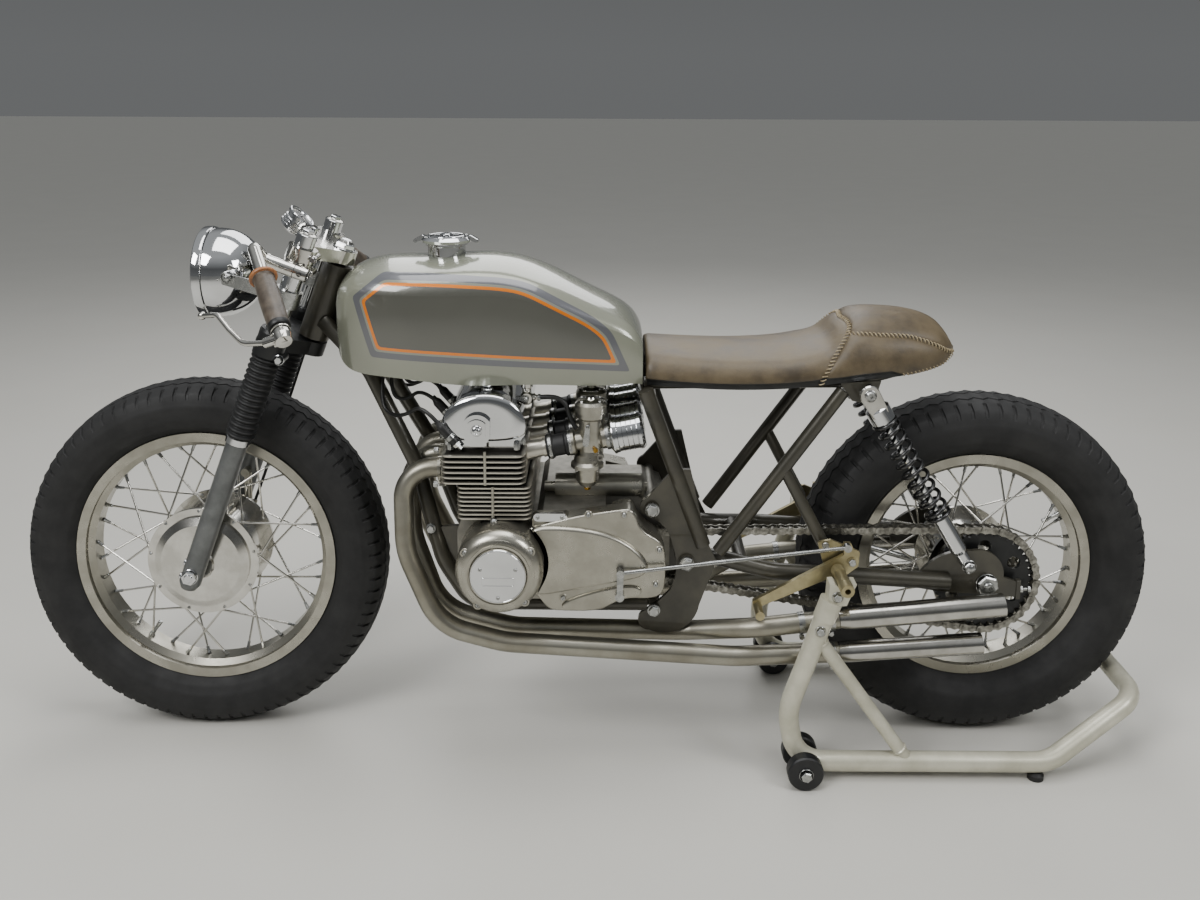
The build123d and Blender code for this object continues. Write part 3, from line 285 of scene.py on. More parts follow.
# mesh building
def makePiece(name, shape, finish, body, stands=(), crease=38):
    # a mesh that rides on a body; finish names a material for each of the shape's face indices
    mesh = bpy.data.meshes.new(name)
    mesh.from_pydata([tuple(p) for p in shape.points], [], [corners for corners, index in shape.faces])
    for item in finish.split():
        mesh.materials.append(materials[item])
    mesh.polygons.foreach_set("material_index", [index for corners, index in shape.faces])
    mesh.shade_smooth()
    mesh.set_sharp_from_angle(angle=radians(crease))
    mesh.update()
    thing = bpy.data.objects.new(name, mesh)
    bpy.context.scene.collection.objects.link(thing)
    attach(thing, body)
    if stands:
        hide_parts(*stands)
    return thing


def mm(x, y, z):
    return Vector((x, y, z)) / 1000


def mirrored(point):
    return Vector((point[0], -point[1], point[2]))


class Shape:
    # collects points and faces of several simple forms into one mesh; sizes are in mm, points in metres
    def __init__(self):
        self.points, self.faces = [], []

    def grid(self, rows, closeRows=False, closeColumns=False, index=0, flip=False):
        start, wide = len(self.points), len(rows[0])
        for row in rows:
            self.points += row
        for a in range(len(rows) if closeRows else len(rows) - 1):
            for b in range(wide if closeColumns else wide - 1):
                c, d = (a + 1) % len(rows), (b + 1) % wide
                quad = [start + a * wide + b, start + a * wide + d, start + c * wide + d, start + c * wide + b]
                self.faces.append((quad[::-1] if flip else quad, index))

    def cap(self, ring, index=0, flip=False):
        order = list(range(len(self.points), len(self.points) + len(ring)))
        self.points += ring
        self.faces.append((order[::-1] if flip else order, index))

    def lathe(self, origin, axis, outline, steps=32, index=0):
        # outline: radius and distance along the axis in turn; a radius of 0 is closed by a tiny ring
        along = Vector(axis).normalized()
        side = along.orthogonal().normalized()
        up = along.cross(side)
        pairs = [(max(r, 0.02) / 1000, d / 1000) for r, d in zip(outline[::2], outline[1::2])]
        rows = []
        for k in range(steps):
            angle = 2 * pi * k / steps
            out = side * cos(angle) + up * sin(angle)
            rows.append([Vector(origin) + along * d + out * r for r, d in pairs])
        self.grid(rows, closeRows=True, index=index, flip=True)

    def tube(self, path, radius, steps=10, index=0, closed=False):
        # round tube along a list of points, with a frame carried along it
        count = len(path)
        tangents = []
        for k in range(count):
            after = path[(k + 1) % count] if closed or k < count - 1 else path[k]
            before = path[k - 1] if closed or k > 0 else path[k]
            tangents.append((after - before).normalized())
        normal = tangents[0].orthogonal().normalized()
        rows = []
        for k in range(count):
            normal = (normal - tangents[k] * normal.dot(tangents[k])).normalized()
            other = tangents[k].cross(normal)
            rows.append([path[k] + (normal * cos(2 * pi * s / steps) + other * sin(2 * pi * s / steps)) * radius / 1000
                         for s in range(steps)])
        self.grid(rows, closeRows=closed, closeColumns=True, index=index)
        if not closed:
            self.cap(rows[0], index, flip=True)
            self.cap(rows[-1], index)

    def hexBolt(self, at, axis, across, height, index=0):
        # hexagon head with a small chamfer, standing on a face
        r = across / 2 / cos(pi / 6)
        self.lathe(at, axis, (r, 0, r, height * 0.8, r * 0.86, height, 0, height), 6, index)

    def roundScrew(self, at, axis, radius, height, index=0):
        # pan head with a recess
        self.lathe(at, axis, (radius, 0, radius, height * 0.5, radius * 0.75, height, radius * 0.3, height,
                              radius * 0.22, height * 0.55, 0, height * 0.5), 14, index)

    def slab(self, outline, yFrom, yTo, bevel=0.8, index=0):
        # plate between two Y values from an outline in XZ, its edges eased so that they catch the light
        cx = sum(x for x, z in outline) / len(outline)
        cz = sum(z for x, z in outline) / len(outline)
        sign = 1 if yTo > yFrom else -1
        small = 1 - bevel / max(hypot(x - cx, z - cz) for x, z in outline)
        rings = [[mm(cx + (x - cx) * share, y, cz + (z - cz) * share) for x, z in outline]
                 for y, share in ((yFrom, small), (yFrom + sign * bevel, 1), (yTo - sign * bevel, 1), (yTo, small))]
        self.grid(rings, closeColumns=True, index=index, flip=sign < 0)
        self.cap(rings[0], index, flip=sign > 0)
        self.cap(rings[-1], index, flip=sign < 0)

    def relieved(self, outline, profile, back=True):
        # a form that rises to the left from an outline in XZ; the profile holds inset and distance from the middle
        inward = []
        for k in range(len(outline)):
            (ax, az), (bx, bz) = outline[k - 1], outline[(k + 1) % len(outline)]
            run = hypot(bx - ax, bz - az)
            inward.append((-(bz - az) / run, (bx - ax) / run))
        rings = [[mm(x + nx * inset, -y, z + nz * inset) for (x, z), (nx, nz) in zip(outline, inward)]
                 for inset, y in profile]
        self.grid(rings, closeColumns=True, flip=True)
        self.cap(rings[-1], flip=True)
        if back:
            self.cap(rings[0])

    def fit(self, rows, placeOf=mm, sides=(-1, 1)):
        # turned parts and fasteners from rows of place, axis, form (steps of a turned part, "hex", "screw" or
        # "rod"), sizes and face index; written for the right side
        for place, axis, form, sizes, index in rows:
            for side in sides:
                at = placeOf(place[0], side * place[1], place[2])
                way = Vector((axis[0], side * axis[1], axis[2]))
                if form == "hex":
                    self.hexBolt(at, way, *sizes, index)
                elif form == "screw":
                    self.roundScrew(at, way, *sizes, index)
                elif form == "rod":
                    self.tube([at, at + way * sizes[1] / 1000], sizes[0], 12, index)
                else:
                    self.lathe(at, way, sizes, form, index)


sideways, above = (0, 1, 0), (0, 0, 1)  # axes for the rows of Shape.fit


def arcPoints(a, b, c, count):
    # count points on the circle through three points, from a by way of b to c
    (ax, ay), (bx, by), (cx, cy) = a, b, c
    d = 2 * (ax * (by - cy) + bx * (cy - ay) + cx * (ay - by))
    ux = ((ax**2 + ay**2) * (by - cy) + (bx**2 + by**2) * (cy - ay) + (cx**2 + cy**2) * (ay - by)) / d
    uy = ((ax**2 + ay**2) * (cx - bx) + (bx**2 + by**2) * (ax - cx) + (cx**2 + cy**2) * (bx - ax)) / d
    r = hypot(ax - ux, ay - uy)
    start, middle, end = (atan2(y - uy, x - ux) for x, y in (a, b, c))
    sweep = (end - start) % (2 * pi)
    if not (middle - start) % (2 * pi) < sweep:
        sweep -= 2 * pi
    return [(ux + r * cos(start + sweep * k / (count - 1)), uy + r * sin(start + sweep * k / (count - 1)))
            for k in range(count)]


def ringOf(*circles, count=10):
    # convex outline round circles given as x, z, radius
    spots = sorted({(x + r * cos(2 * pi * k / (4 * count)), z + r * sin(2 * pi * k / (4 * count)))
                    for x, z, r in circles for k in range(4 * count)})

    def half(points):
        line = []
        for p in points:
            while len(line) > 1 and ((line[-1][0] - line[-2][0]) * (p[1] - line[-2][1])
                                     - (line[-1][1] - line[-2][1]) * (p[0] - line[-2][0])) <= 1e-9:
                line.pop()
            line.append(p)
        return line[:-1]

    return half(spots) + half(spots[::-1])


def softened(points, rounds=3):
    # cuts the corners of a closed outline again and again, which rounds them
    for _ in range(rounds):
        cut = []
        for (ax, az), (bx, bz) in zip(points, points[1:] + points[:1]):
            cut += [(ax * 0.75 + bx * 0.25, az * 0.75 + bz * 0.25), (ax * 0.25 + bx * 0.75, az * 0.25 + bz * 0.75)]
        points = cut
    return points


# tyres with a sawtooth road tread, in metres
frontTyre = dict(centre=(-0.72, 0, 0.338), radius=0.338, width=0.108, rim=0.243, teeth=84, grooves=(-0.021, 0, 0.021),
                 groove=0.0034, depth=0.0042, swing=0.0042, body="front_wheel", node="front_tyre")
rearTyre = dict(centre=(0.72, 0, 0.329), radius=0.327, width=0.128, rim=0.218, teeth=74, grooves=(-0.026, 0, 0.026),
                groove=0.004, depth=0.005, swing=0.0052, body="rear_wheel", node="rear_tyre")
tyreForm = {"bead": 0.0297, "wallColumns": 22, "rings": (4, 5, 9, 15), "ring": 0.0009, "slotFrom": 19, "slot": 0.004,
            "phases": (0.0, 0.2, 0.36, 0.41, 0.5, 0.59, 0.64, 0.8)}  # of one tooth of the tread


def makeTyre(look):
    half, top, rimEdge = look["width"] / 2, look["radius"], look["rim"]
    inside, shoulderR = tyreForm["bead"], top - 0.28 * half
    shoulderY, bulge = 0.86 * half, (rimEdge + top) / 2 - 0.006
    sag = top - shoulderR
    crown = (shoulderY**2 + sag**2) / (2 * sag)
    # columns of y, r, zigzag share, groove depth, slot share
    wall = [(inside, rimEdge - 0.012, 0, 0, 0), (inside + 0.0004, rimEdge - 0.004, 0, 0, 0)]
    side = arcPoints((inside, rimEdge), (half, bulge), (shoulderY, shoulderR), tyreForm["wallColumns"])
    for k, (y, r) in enumerate(side):
        ring = tyreForm["ring"] if k in tyreForm["rings"] else 0.0  # moulded rings on the sidewall
        wall.append((y + ring, r, 0, 0, 1 if k >= tyreForm["slotFrom"] else 0))
    flanks, w = [], look["groove"] / 2
    for y in look["grooves"]:
        flanks += [(y + w, 1, 0), (y + w * 0.55, 1, 1), (y - w * 0.55, 1, 1), (y - w, 1, 0)]
    edge = max(look["grooves"]) + w
    blockEdge = edge + (shoulderY - edge) * 0.42
    tread = [(shoulderY * 0.97, 0, 0, 1), (shoulderY * 0.9, 0, 0, 1), (blockEdge, 0, 0, 1),
             (blockEdge - 0.001, 0, 0, 0)]
    tread += [(y, share, deep, 0) for y, share, deep in sorted(flanks, reverse=True)]
    tread += [(-y, share, deep, slot) for y, share, deep, slot in tread[3::-1]]
    columns = wall + [(y, top - crown + sqrt(crown**2 - y * y), share, deep * look["depth"], slot)
                      for y, share, deep, slot in tread]
    columns += [(-y, *rest) for y, *rest in wall[::-1]]
    cx, cy, cz = look["centre"]
    rows = []
    for tooth in range(look["teeth"]):
        for phase in tyreForm["phases"]:
            angle = 2 * pi * (tooth + phase) / look["teeth"]
            zig = look["swing"] * (4 * abs(phase - 0.5) - 1)
            cut = tyreForm["slot"] if 0.4 < phase < 0.6 else 0.0
            rows.append([Vector((cx + (r - deep - cut * slot) * cos(angle), cy + y + zig * share,
                                 cz + (r - deep - cut * slot) * sin(angle))) for y, r, share, deep, slot in columns])
    shape = Shape()
    shape.grid(rows, closeRows=True, flip=True)
    makePiece("road" + look["node"].title().replace("_", ""), shape, "tyreRubber", look["body"],
              (look["node"],), 30)


for look in (frontTyre, rearTyre):
    makeTyre(look)
print("tyres ready")

# spoke nipples and valves, in metres
wheelTrim = [dict(centre=(-0.72, 0, 0.338), rim=0.243, hub=0.098, flange=0.047, body="front_wheel", valve=-2.2),
             dict(centre=(0.72, 0, 0.329), rim=0.218, hub=0.083, flange=0.043, body="rear_wheel", valve=0.5)]
spokes = {"count": 36, "crossing": 36, "rimWell": 0.0289, "flangeShift": 0.0022, "rimSide": 0.006, "rimShift": 0.003}


def makeNipples(look):
    shape = Shape()
    centre = Vector(look["centre"])
    rimInside = look["rim"] - spokes["rimWell"]
    for index in range(spokes["count"]):
        side = -1 if index % 2 else 1
        way = 1 if index % 4 < 2 else -1
        rimAngle = radians(360 / spokes["count"] * (index + 0.5))
        hubAngle = rimAngle + way * radians(spokes["crossing"])
        hubSide, rimSide = look["flange"] + way * spokes["flangeShift"], spokes["rimSide"] + way * spokes["rimShift"]
        start = centre + Vector((look["hub"] * cos(hubAngle), side * hubSide, look["hub"] * sin(hubAngle)))
        end = centre + Vector((rimInside * cos(rimAngle), side * rimSide, rimInside * sin(rimAngle)))
        run = (end - start).normalized()
        shape.lathe(end - run * 0.0135, run, (1.9, 0, 2.9, 1, 3.1, 10, 4, 12.5, 4, 14.5), 8)
        shape.lathe(start - run * 0.004, run, (0, 0, 3.2, 1.2, 3.2, 2.8, 1.9, 6), 8)
    stem = Vector((cos(look["valve"]), 0, sin(look["valve"])))
    shape.lathe(centre + stem * (rimInside + 0.001), -stem,
                (5.2, 0, 5.2, 4, 3.8, 6, 3.6, 22, 4.4, 23, 4.4, 32, 3, 34, 0, 34), 12)
    makePiece("nipples_" + look["body"], shape, "platedSteel", look["body"])


for look in wheelTrim:
    makeNipples(look)

# shock springs, in mm on the right side
spring = dict(top=(486, 125, 690), foot=(677, 125, 375), start=58, end=262, turns=11.5, coil=20.5, wire=3.6)


def makeSprings(look):
    shape = Shape()
    flat = 1.1 / look["turns"]  # the end coils lie flat
    low, high = look["start"] + look["wire"], look["end"] - look["wire"]
    steps = 28
    total = int(look["turns"] * steps)
    for side in (-1, 1):
        top, foot = (mm(x, side * y, z) for x, y, z in (look["top"], look["foot"]))
        along = (foot - top).normalized()
        across = along.orthogonal().normalized()
        other = along.cross(across)
        path = []
        for k in range(total + 1):
            rise = min(max((k / total - flat) / (1 - 2 * flat), 0), 1)
            angle = 2 * pi * k / steps
            path.append(top + (along * (low + (high - low) * rise)
                               + (across * cos(angle) + other * sin(angle)) * look["coil"]) / 1000)
        shape.tube(path, look["wire"], 10)
    makePiece("coilSprings", shape, "blackSpringEnamel", "frame", ("shock_springs",), 60)


makeSprings(spring)

# drive chain: pitch of five eighths of an inch and plates in metres; roller's radius and width, pin's length in mm
chain = dict(front=(0.095, 0.375), rear=(0.72, 0.329), y=-0.084, pitch=0.015875, frontTeeth=17, rearTeeth=38,
             roller=5.1, rollerWidth=11, pinLength=21.4, plateHeight=0.0072, plateThickness=0.0021,
             plateFaces=(0.0056, 0.0077))


def makeChain(look):
    r1, r2 = (look["pitch"] * look[key] / (2 * pi) for key in ("frontTeeth", "rearTeeth"))
    (x1, z1), (x2, z2) = look["front"], look["rear"]
    base = atan2(z2 - z1, x2 - x1)
    run = sqrt((x2 - x1) ** 2 + (z2 - z1) ** 2 - (r2 - r1) ** 2)
    lean = atan2(r2 - r1, run)
    upper, lower = base + pi / 2 + lean, base - pi / 2 - lean
    parts = [run, r2 * ((upper - lower) % (2 * pi)), run, r1 * ((lower - upper) % (2 * pi))]
    length = sum(parts)
    links = 2 * round(length / look["pitch"] / 2)

    def front(angle):
        return x1 + r1 * cos(angle), z1 + r1 * sin(angle)

    def rear(angle):
        return x2 + r2 * cos(angle), z2 + r2 * sin(angle)

    def at(s):
        # place on the loop: upper run, rear sprocket, lower run, front sprocket
        part = 0
        while part < 3 and s >= parts[part]:
            s -= parts[part]
            part += 1
        if part == 1:
            return rear(upper - s / r2)
        if part == 3:
            return front(lower - s / r1)
        a, b = (front(upper), rear(upper)) if part == 0 else (rear(lower), front(lower))
        return a[0] + (b[0] - a[0]) * s / run, a[1] + (b[1] - a[1]) * s / run

    pins = [at(k * length / links) for k in range(links)]
    shape = Shape()
    h, waist, thick, roller = look["plateHeight"], look["plateHeight"] * 0.72, look["plateThickness"], look["roller"]
    wide, pin = look["rollerWidth"], look["pinLength"]
    for k in range(links):
        (ax, az), (bx, bz) = pins[k], pins[(k + 1) % links]
        angle = atan2(bz - az, bx - ax)
        gap = hypot(bx - ax, bz - az)
        outline = []
        for turn, centre, middle in ((pi / 2, 0.0, -waist), (-pi / 2, gap, waist)):
            outline += [(centre + h * cos(turn + pi * j / 6), h * sin(turn + pi * j / 6)) for j in range(7)]
            outline.append((gap / 2, middle))
        for side in (-1, 1):
            y0 = look["y"] + side * look["plateFaces"][k % 2]  # inner and outer plates in turn
            rings = [[Vector((ax + u * cos(angle) - v * sin(angle), y, az + u * sin(angle) + v * cos(angle)))
                      for u, v in outline] for y in (y0, y0 + side * thick)]
            shape.grid(rings, closeColumns=True, flip=side < 0)
            shape.cap(rings[1], flip=side < 0)
            shape.cap(rings[0], flip=side > 0)
        shape.lathe((ax, look["y"] - wide / 2000, az), sideways,
                    (roller * 0.6, 0, roller, 0, roller, wide, roller * 0.6, wide), 12)
        shape.lathe((ax, look["y"] - pin / 2000, az), sideways,
                    (0, 0, 2.4, 0.3, 2.6, 1, 2.6, pin - 1, 2.4, pin - 0.3, 0, pin), 8)
    makePiece("rollerChain", shape, "oiledChainSteel", "frame", ("drive_chain",), 35)


makeChain(chain)
print("springs and chain ready")

# places along the fork
rake = radians(20.5)
forkUp = Vector((sin(rake), 0, cos(rake)))
forkBack = Vector((cos(rake), 0, -sin(rake)))


def onLeg(back, side, up):
    # fork coordinates in mm: back from the leg's line, to the side, up along it
    return Vector((-0.72, 0, 0.338)) + (forkBack * back + Vector((0, side, 0)) + forkUp * up) / 1000


# tank lacquer: sprayed sage with a grey band, an orange line and a dark grey panel, masked by straight tape, under
# a deep clear coat that gives hard white glints
stripes = {"corners": [(-380, 749), (-412, 854), (-360, 896), (-264, 896.6), (-137.5, 888.8), (-103, 880), (12, 819),
                       (40, 794), (72, 722)],
           "blend": 0.009, "span": 0.05, "zero": 0.3, "flakeMm": 0.4545, "cloudMm": 111, "peelMm": 2.38,
           "bands": [(0.0, "#868879"), (0.300, "#5f6064"), (0.520, "#868879"), (0.600, "#d9770f"), (0.700, "#56564f")]}


def paintTank(look):
    material, tree, shader = startMaterial("sageTankLacquer", Metallic=0.25, Roughness=0.24, Coat_Weight=1.0,
                                           Coat_Roughness=0.04)
    place = addNode(tree, "ShaderNodeTexCoord").outputs["Object"]
    corners = [mm(x, 0, z) for x, z in look["corners"]]
    centre = sum(corners, Vector()) / len(corners)
    inside = None
    for a, b in zip(corners, corners[1:] + corners[:1]):
        normal = Vector(((b - a).z, 0, -(b - a).x)).normalized()
        if normal.dot(centre - a) < 0:
            normal = -normal
        along = addNode(tree, "ShaderNodeVectorMath", {0: place, 1: normal}, operation="DOT_PRODUCT")
        depth = addNode(tree, "ShaderNodeMath", {0: along.outputs["Value"], 1: normal.dot(a)},
                        operation="SUBTRACT").outputs["Value"]
        inside = depth if inside is None else addNode(
            tree, "ShaderNodeMath", {0: inside, 1: depth, 2: look["blend"]}, operation="SMOOTH_MIN").outputs["Value"]
    share = addNode(tree, "ShaderNodeMath", {0: inside, 1: 1 / look["span"], 2: look["zero"]},
                    operation="MULTIPLY_ADD")
    bands = addNode(tree, "ShaderNodeValToRGB", {"Fac": share.outputs["Value"]}, look["bands"])
    bands.color_ramp.interpolation = "CONSTANT"
    # flakes under half a millimetre, clouds of a hand's width
    flakes = addNode(tree, "ShaderNodeTexNoise", {"Vector": place, "Scale": 1000 / look["flakeMm"], "Detail": 2})
    sparkle = addNode(tree, "ShaderNodeMapRange", {
        "Value": flakes.outputs["Fac"], "From Min": 0.35, "From Max": 0.65, "To Min": 0.93, "To Max": 1.07})
    clouds = addNode(tree, "ShaderNodeTexNoise", {"Vector": place, "Scale": 1000 / look["cloudMm"], "Detail": 3})
    drift = addNode(tree, "ShaderNodeMapRange", {
        "Value": clouds.outputs["Fac"], "From Min": 0.3, "From Max": 0.7, "To Min": 0.95, "To Max": 1.04})
    tone = addNode(tree, "ShaderNodeMath", {0: sparkle.outputs["Result"], 1: drift.outputs["Result"]},
                   operation="MULTIPLY")
    lit = addNode(tree, "ShaderNodeVectorMath", {0: bands.outputs["Color"], "Scale": tone.outputs["Value"]},
                  operation="SCALE")
    tree.links.new(lit.outputs["Vector"], shader.inputs["Base Color"])
    peel = addNode(tree, "ShaderNodeTexNoise", {"Vector": place, "Scale": 1000 / look["peelMm"], "Detail": 2})
    relief = addNode(tree, "ShaderNodeBump", {"Height": peel.outputs["Fac"], "Strength": 0.03, "Distance": 0.0004})
    tree.links.new(relief.outputs["Normal"], shader.inputs["Coat Normal"])
    for slot in nodes["fuel_tank"].material_slots:
        slot.material = material


paintTank(stripes)


# tanned leather with pores, folds and rubbed high spots
def leatherSurface(name, look):
    material, tree, shader = startMaterial(name, Coat_Weight=look["wax"], Coat_Roughness=0.35)
    place = addNode(tree, "ShaderNodeTexCoord").outputs["Object"]
    rubbed = addNode(tree, "ShaderNodeTexNoise", {
        "Vector": place, "Scale": 1000 / look["rubMm"], "Detail": 6, "Roughness": 0.62}).outputs["Fac"]
    tones = addNode(tree, "ShaderNodeValToRGB", {"Fac": rubbed}, [
        (0.3, look["darkTone"]), (0.72, look["rubbedTone"]), (0.5, look["tone"])])
    pores = addNode(tree, "ShaderNodeTexVoronoi", {"Vector": place, "Scale": 1000 / look["poreMm"]},
                    feature="DISTANCE_TO_EDGE").outputs["Distance"]
    folds = addNode(tree, "ShaderNodeTexNoise", {
        "Vector": place, "Scale": 1000 / look["foldMm"], "Detail": 4, "Distortion": 0.6})
    shade = addNode(tree, "ShaderNodeMapRange", {
        "Value": pores, "From Min": 0.0, "From Max": 0.12, "To Min": 0.82, "To Max": 1.0})
    lit = addNode(tree, "ShaderNodeVectorMath", {0: tones.outputs["Color"], "Scale": shade.outputs["Result"]},
                  operation="SCALE")
    tree.links.new(lit.outputs["Vector"], shader.inputs["Base Color"])
    rough = addNode(tree, "ShaderNodeMapRange", {
        "Value": rubbed, "From Min": 0.3, "From Max": 0.7, "To Min": look["roughness"][0],
        "To Max": look["roughness"][1]})
    tree.links.new(rough.outputs["Result"], shader.inputs["Roughness"])
    grain = addNode(tree, "ShaderNodeBump", {"Height": pores, "Strength": 0.25, "Distance": 0.0006})
    relief = addNode(tree, "ShaderNodeBump", {
        "Height": folds.outputs["Fac"], "Normal": grain.outputs["Normal"], "Strength": 0.35, "Distance": 0.0016})
    tree.links.new(relief.outputs["Normal"], shader.inputs["Normal"])
    return material


hides = {
    # waxed brown hide of the seat: matt, darker in the folds, paler where it is sat on
    "waxedSeatHide": dict(tone="#564a35", darkTone="#3c3325", rubbedTone="#655840", rubMm=55, poreMm=1.5, foldMm=14,
                          roughness=(0.42, 0.58), wax=0.06),
    # grey-brown hide of the grips, shiny from hands
    "rubbedGripHide": dict(tone="#4b4238", darkTone="#352e27", rubbedTone="#5f5548", rubMm=25, poreMm=1.2, foldMm=9,
                           roughness=(0.38, 0.52), wax=0.2),
    # new tan hide of the flanges: the one warm spot at the bars
    "tanGripHide": dict(tone="#a1683a", darkTone="#7c4c29", rubbedTone="#b87f4e", rubMm=12, poreMm=1.2, foldMm=9,
                        roughness=(0.4, 0.55), wax=0.15),
}
for name, look in hides.items():
    materials[name] = leatherSurface(name, look)

# seat: the CAD's sections, rounded, with sewn seams pulled in between padded panels
# sections: x, top, bottom, half width of the top, half width of the bottom, in mm
# seams and edges: x with a height in mm, or with a share of the way from the lower edge to the middle line
seat = {"sections": [(102, 754, 696, 70, 98), (180, 748, 693, 80, 109), (260, 745, 692, 86, 115),
                     (340, 748, 695, 90, 118), (390, 756, 700, 90, 119), (425, 767, 704, 86, 118),
                     (456, 796, 708, 80, 116), (485, 811, 711, 74, 112), (540, 813, 715, 66, 104),
                     (590, 807, 722, 57, 92), (625, 794, 730, 46, 76), (648, 772, 739, 30, 52),
                     (660, 751, 743, 16, 30)],
        "bendFoot": ((405, 701), (410, 716), (422, 738), (436, 758), (449, 776), (457, 786)),
        "bendTop": ((462, 0.62), (464, 0.7), (463, 0.8), (460, 0.9), (458, 1.0)),
        "shoulder": ((457, 786), (480, 788), (511, 786), (540, 785), (564, 782), (592, 774), (618, 763), (637, 753),
                     (650, 748), (659, 746)),
        "columns": 92, "strip": 13, "stripEnd": 560, "stripFade": 30, "fold": 0.0035, "groove": 0.0021,
        "grooveWidth": 0.0042, "puff": 0.0022, "puffWidth": 0.02, "tail": 0.662, "tailFade": 0.03, "thread": 1.15,
        "stitch": 0.0074, "stitchHalf": 0.0047, "stitchArch": ((-1, -0.001), (-0.6, 0.0015), (0, 0.0021),
                                                               (0.6, 0.0015), (1, -0.001)), "seamStep": 0.0015}


def seatNumbers(x):
    # smooth curve through the table's columns
    rows = seat["sections"]
    k = max(1, min(len(rows) - 1, next((i for i, row in enumerate(rows) if row[0] >= x), len(rows) - 1)))
    a, b = rows[k - 1], rows[k]
    before, after = rows[max(k - 2, 0)], rows[min(k + 1, len(rows) - 1)]
    t = (x - a[0]) / (b[0] - a[0])
    numbers = []
    for c in range(1, 5):
        slopeA = (b[c] - before[c]) / (b[0] - before[0]) * (b[0] - a[0])
        slopeB = (after[c] - a[c]) / (after[0] - a[0]) * (b[0] - a[0])
        numbers.append(a[c] * (2 * t**3 - 3 * t**2 + 1) + slopeA * (t**3 - 2 * t**2 + t)
                       + b[c] * (3 * t**2 - 2 * t**3) + slopeB * (t**3 - t**2))
    return numbers


def seatSection(x):
    # points of one section by equal steps of length, from the left lower edge over the top to the right
    top, bottom, high, low = seatNumbers(x)
    height = top - bottom
    edge = (high + 6, top - 0.14 * height)
    side = arcPoints((low, bottom), (low + 2, bottom + 0.4 * height), edge, 40)
    half = side + arcPoints(edge, (0, top + 3), (-edge[0], edge[1]), 61)[1:31]
    ring = [(-y, z) for y, z in half] + [(y, z) for y, z in half[-2::-1]]
    for _ in range(14):  # rounds the shoulder of the foam
        ring = ring[:1] + [((a[0] + 2 * b[0] + c[0]) / 4, (a[1] + 2 * b[1] + c[1]) / 4)
                           for a, b, c in zip(ring, ring[1:], ring[2:])] + ring[-1:]
    lengths = [0.0]
    for a, b in zip(ring, ring[1:]):
        lengths.append(lengths[-1] + hypot(b[0] - a[0], b[1] - a[1]))
    return ring, lengths


def alongSection(section, distance):
    ring, lengths = section
    distance = max(0.0, min(distance, lengths[-1]))
    k = next(i for i in range(1, len(lengths)) if lengths[i] >= distance)
    t = (distance - lengths[k - 1]) / max(lengths[k] - lengths[k - 1], 1e-9)
    return ring[k - 1][0] + (ring[k][0] - ring[k - 1][0]) * t, ring[k - 1][1] + (ring[k][1] - ring[k - 1][1]) * t


def seatSpot(x, value):
    # a point on the left half, by its height in mm or by its share of the way to the middle line
    ring, lengths = seatSection(x)
    if value > 1:
        return mm(x, *next((p for p in ring if p[1] >= value), ring[len(ring) // 2]))
    return mm(x, *alongSection((ring, lengths), value * lengths[-1] / 2))


def seamLine(points):
    # evenly spaced points along a polyline
    line, rest, gap = [points[0]], 0.0, seat["seamStep"]
    for a, b in zip(points, points[1:]):
        run, done = (b - a).length, gap - rest
        while done <= run:
            line.append(a + (b - a) * (done / run))
            done += gap
        rest = run - (done - gap)
    return line


bend = [seatSpot(*place) for place in seat["bendFoot"] + seat["bendTop"]]
bend += [mirrored(p) for p in bend[-2::-1]]
shoulder = [seatSpot(*place) for place in seat["shoulder"]]
rim = [seatSpot(x, 0.02) for x in range(548, 660, 6)]
seams = [seamLine(line) for line in (bend, shoulder, [mirrored(p) for p in shoulder])]
stitchedEdges = [seamLine(line) for line in (rim, [mirrored(p) for p in rim])]


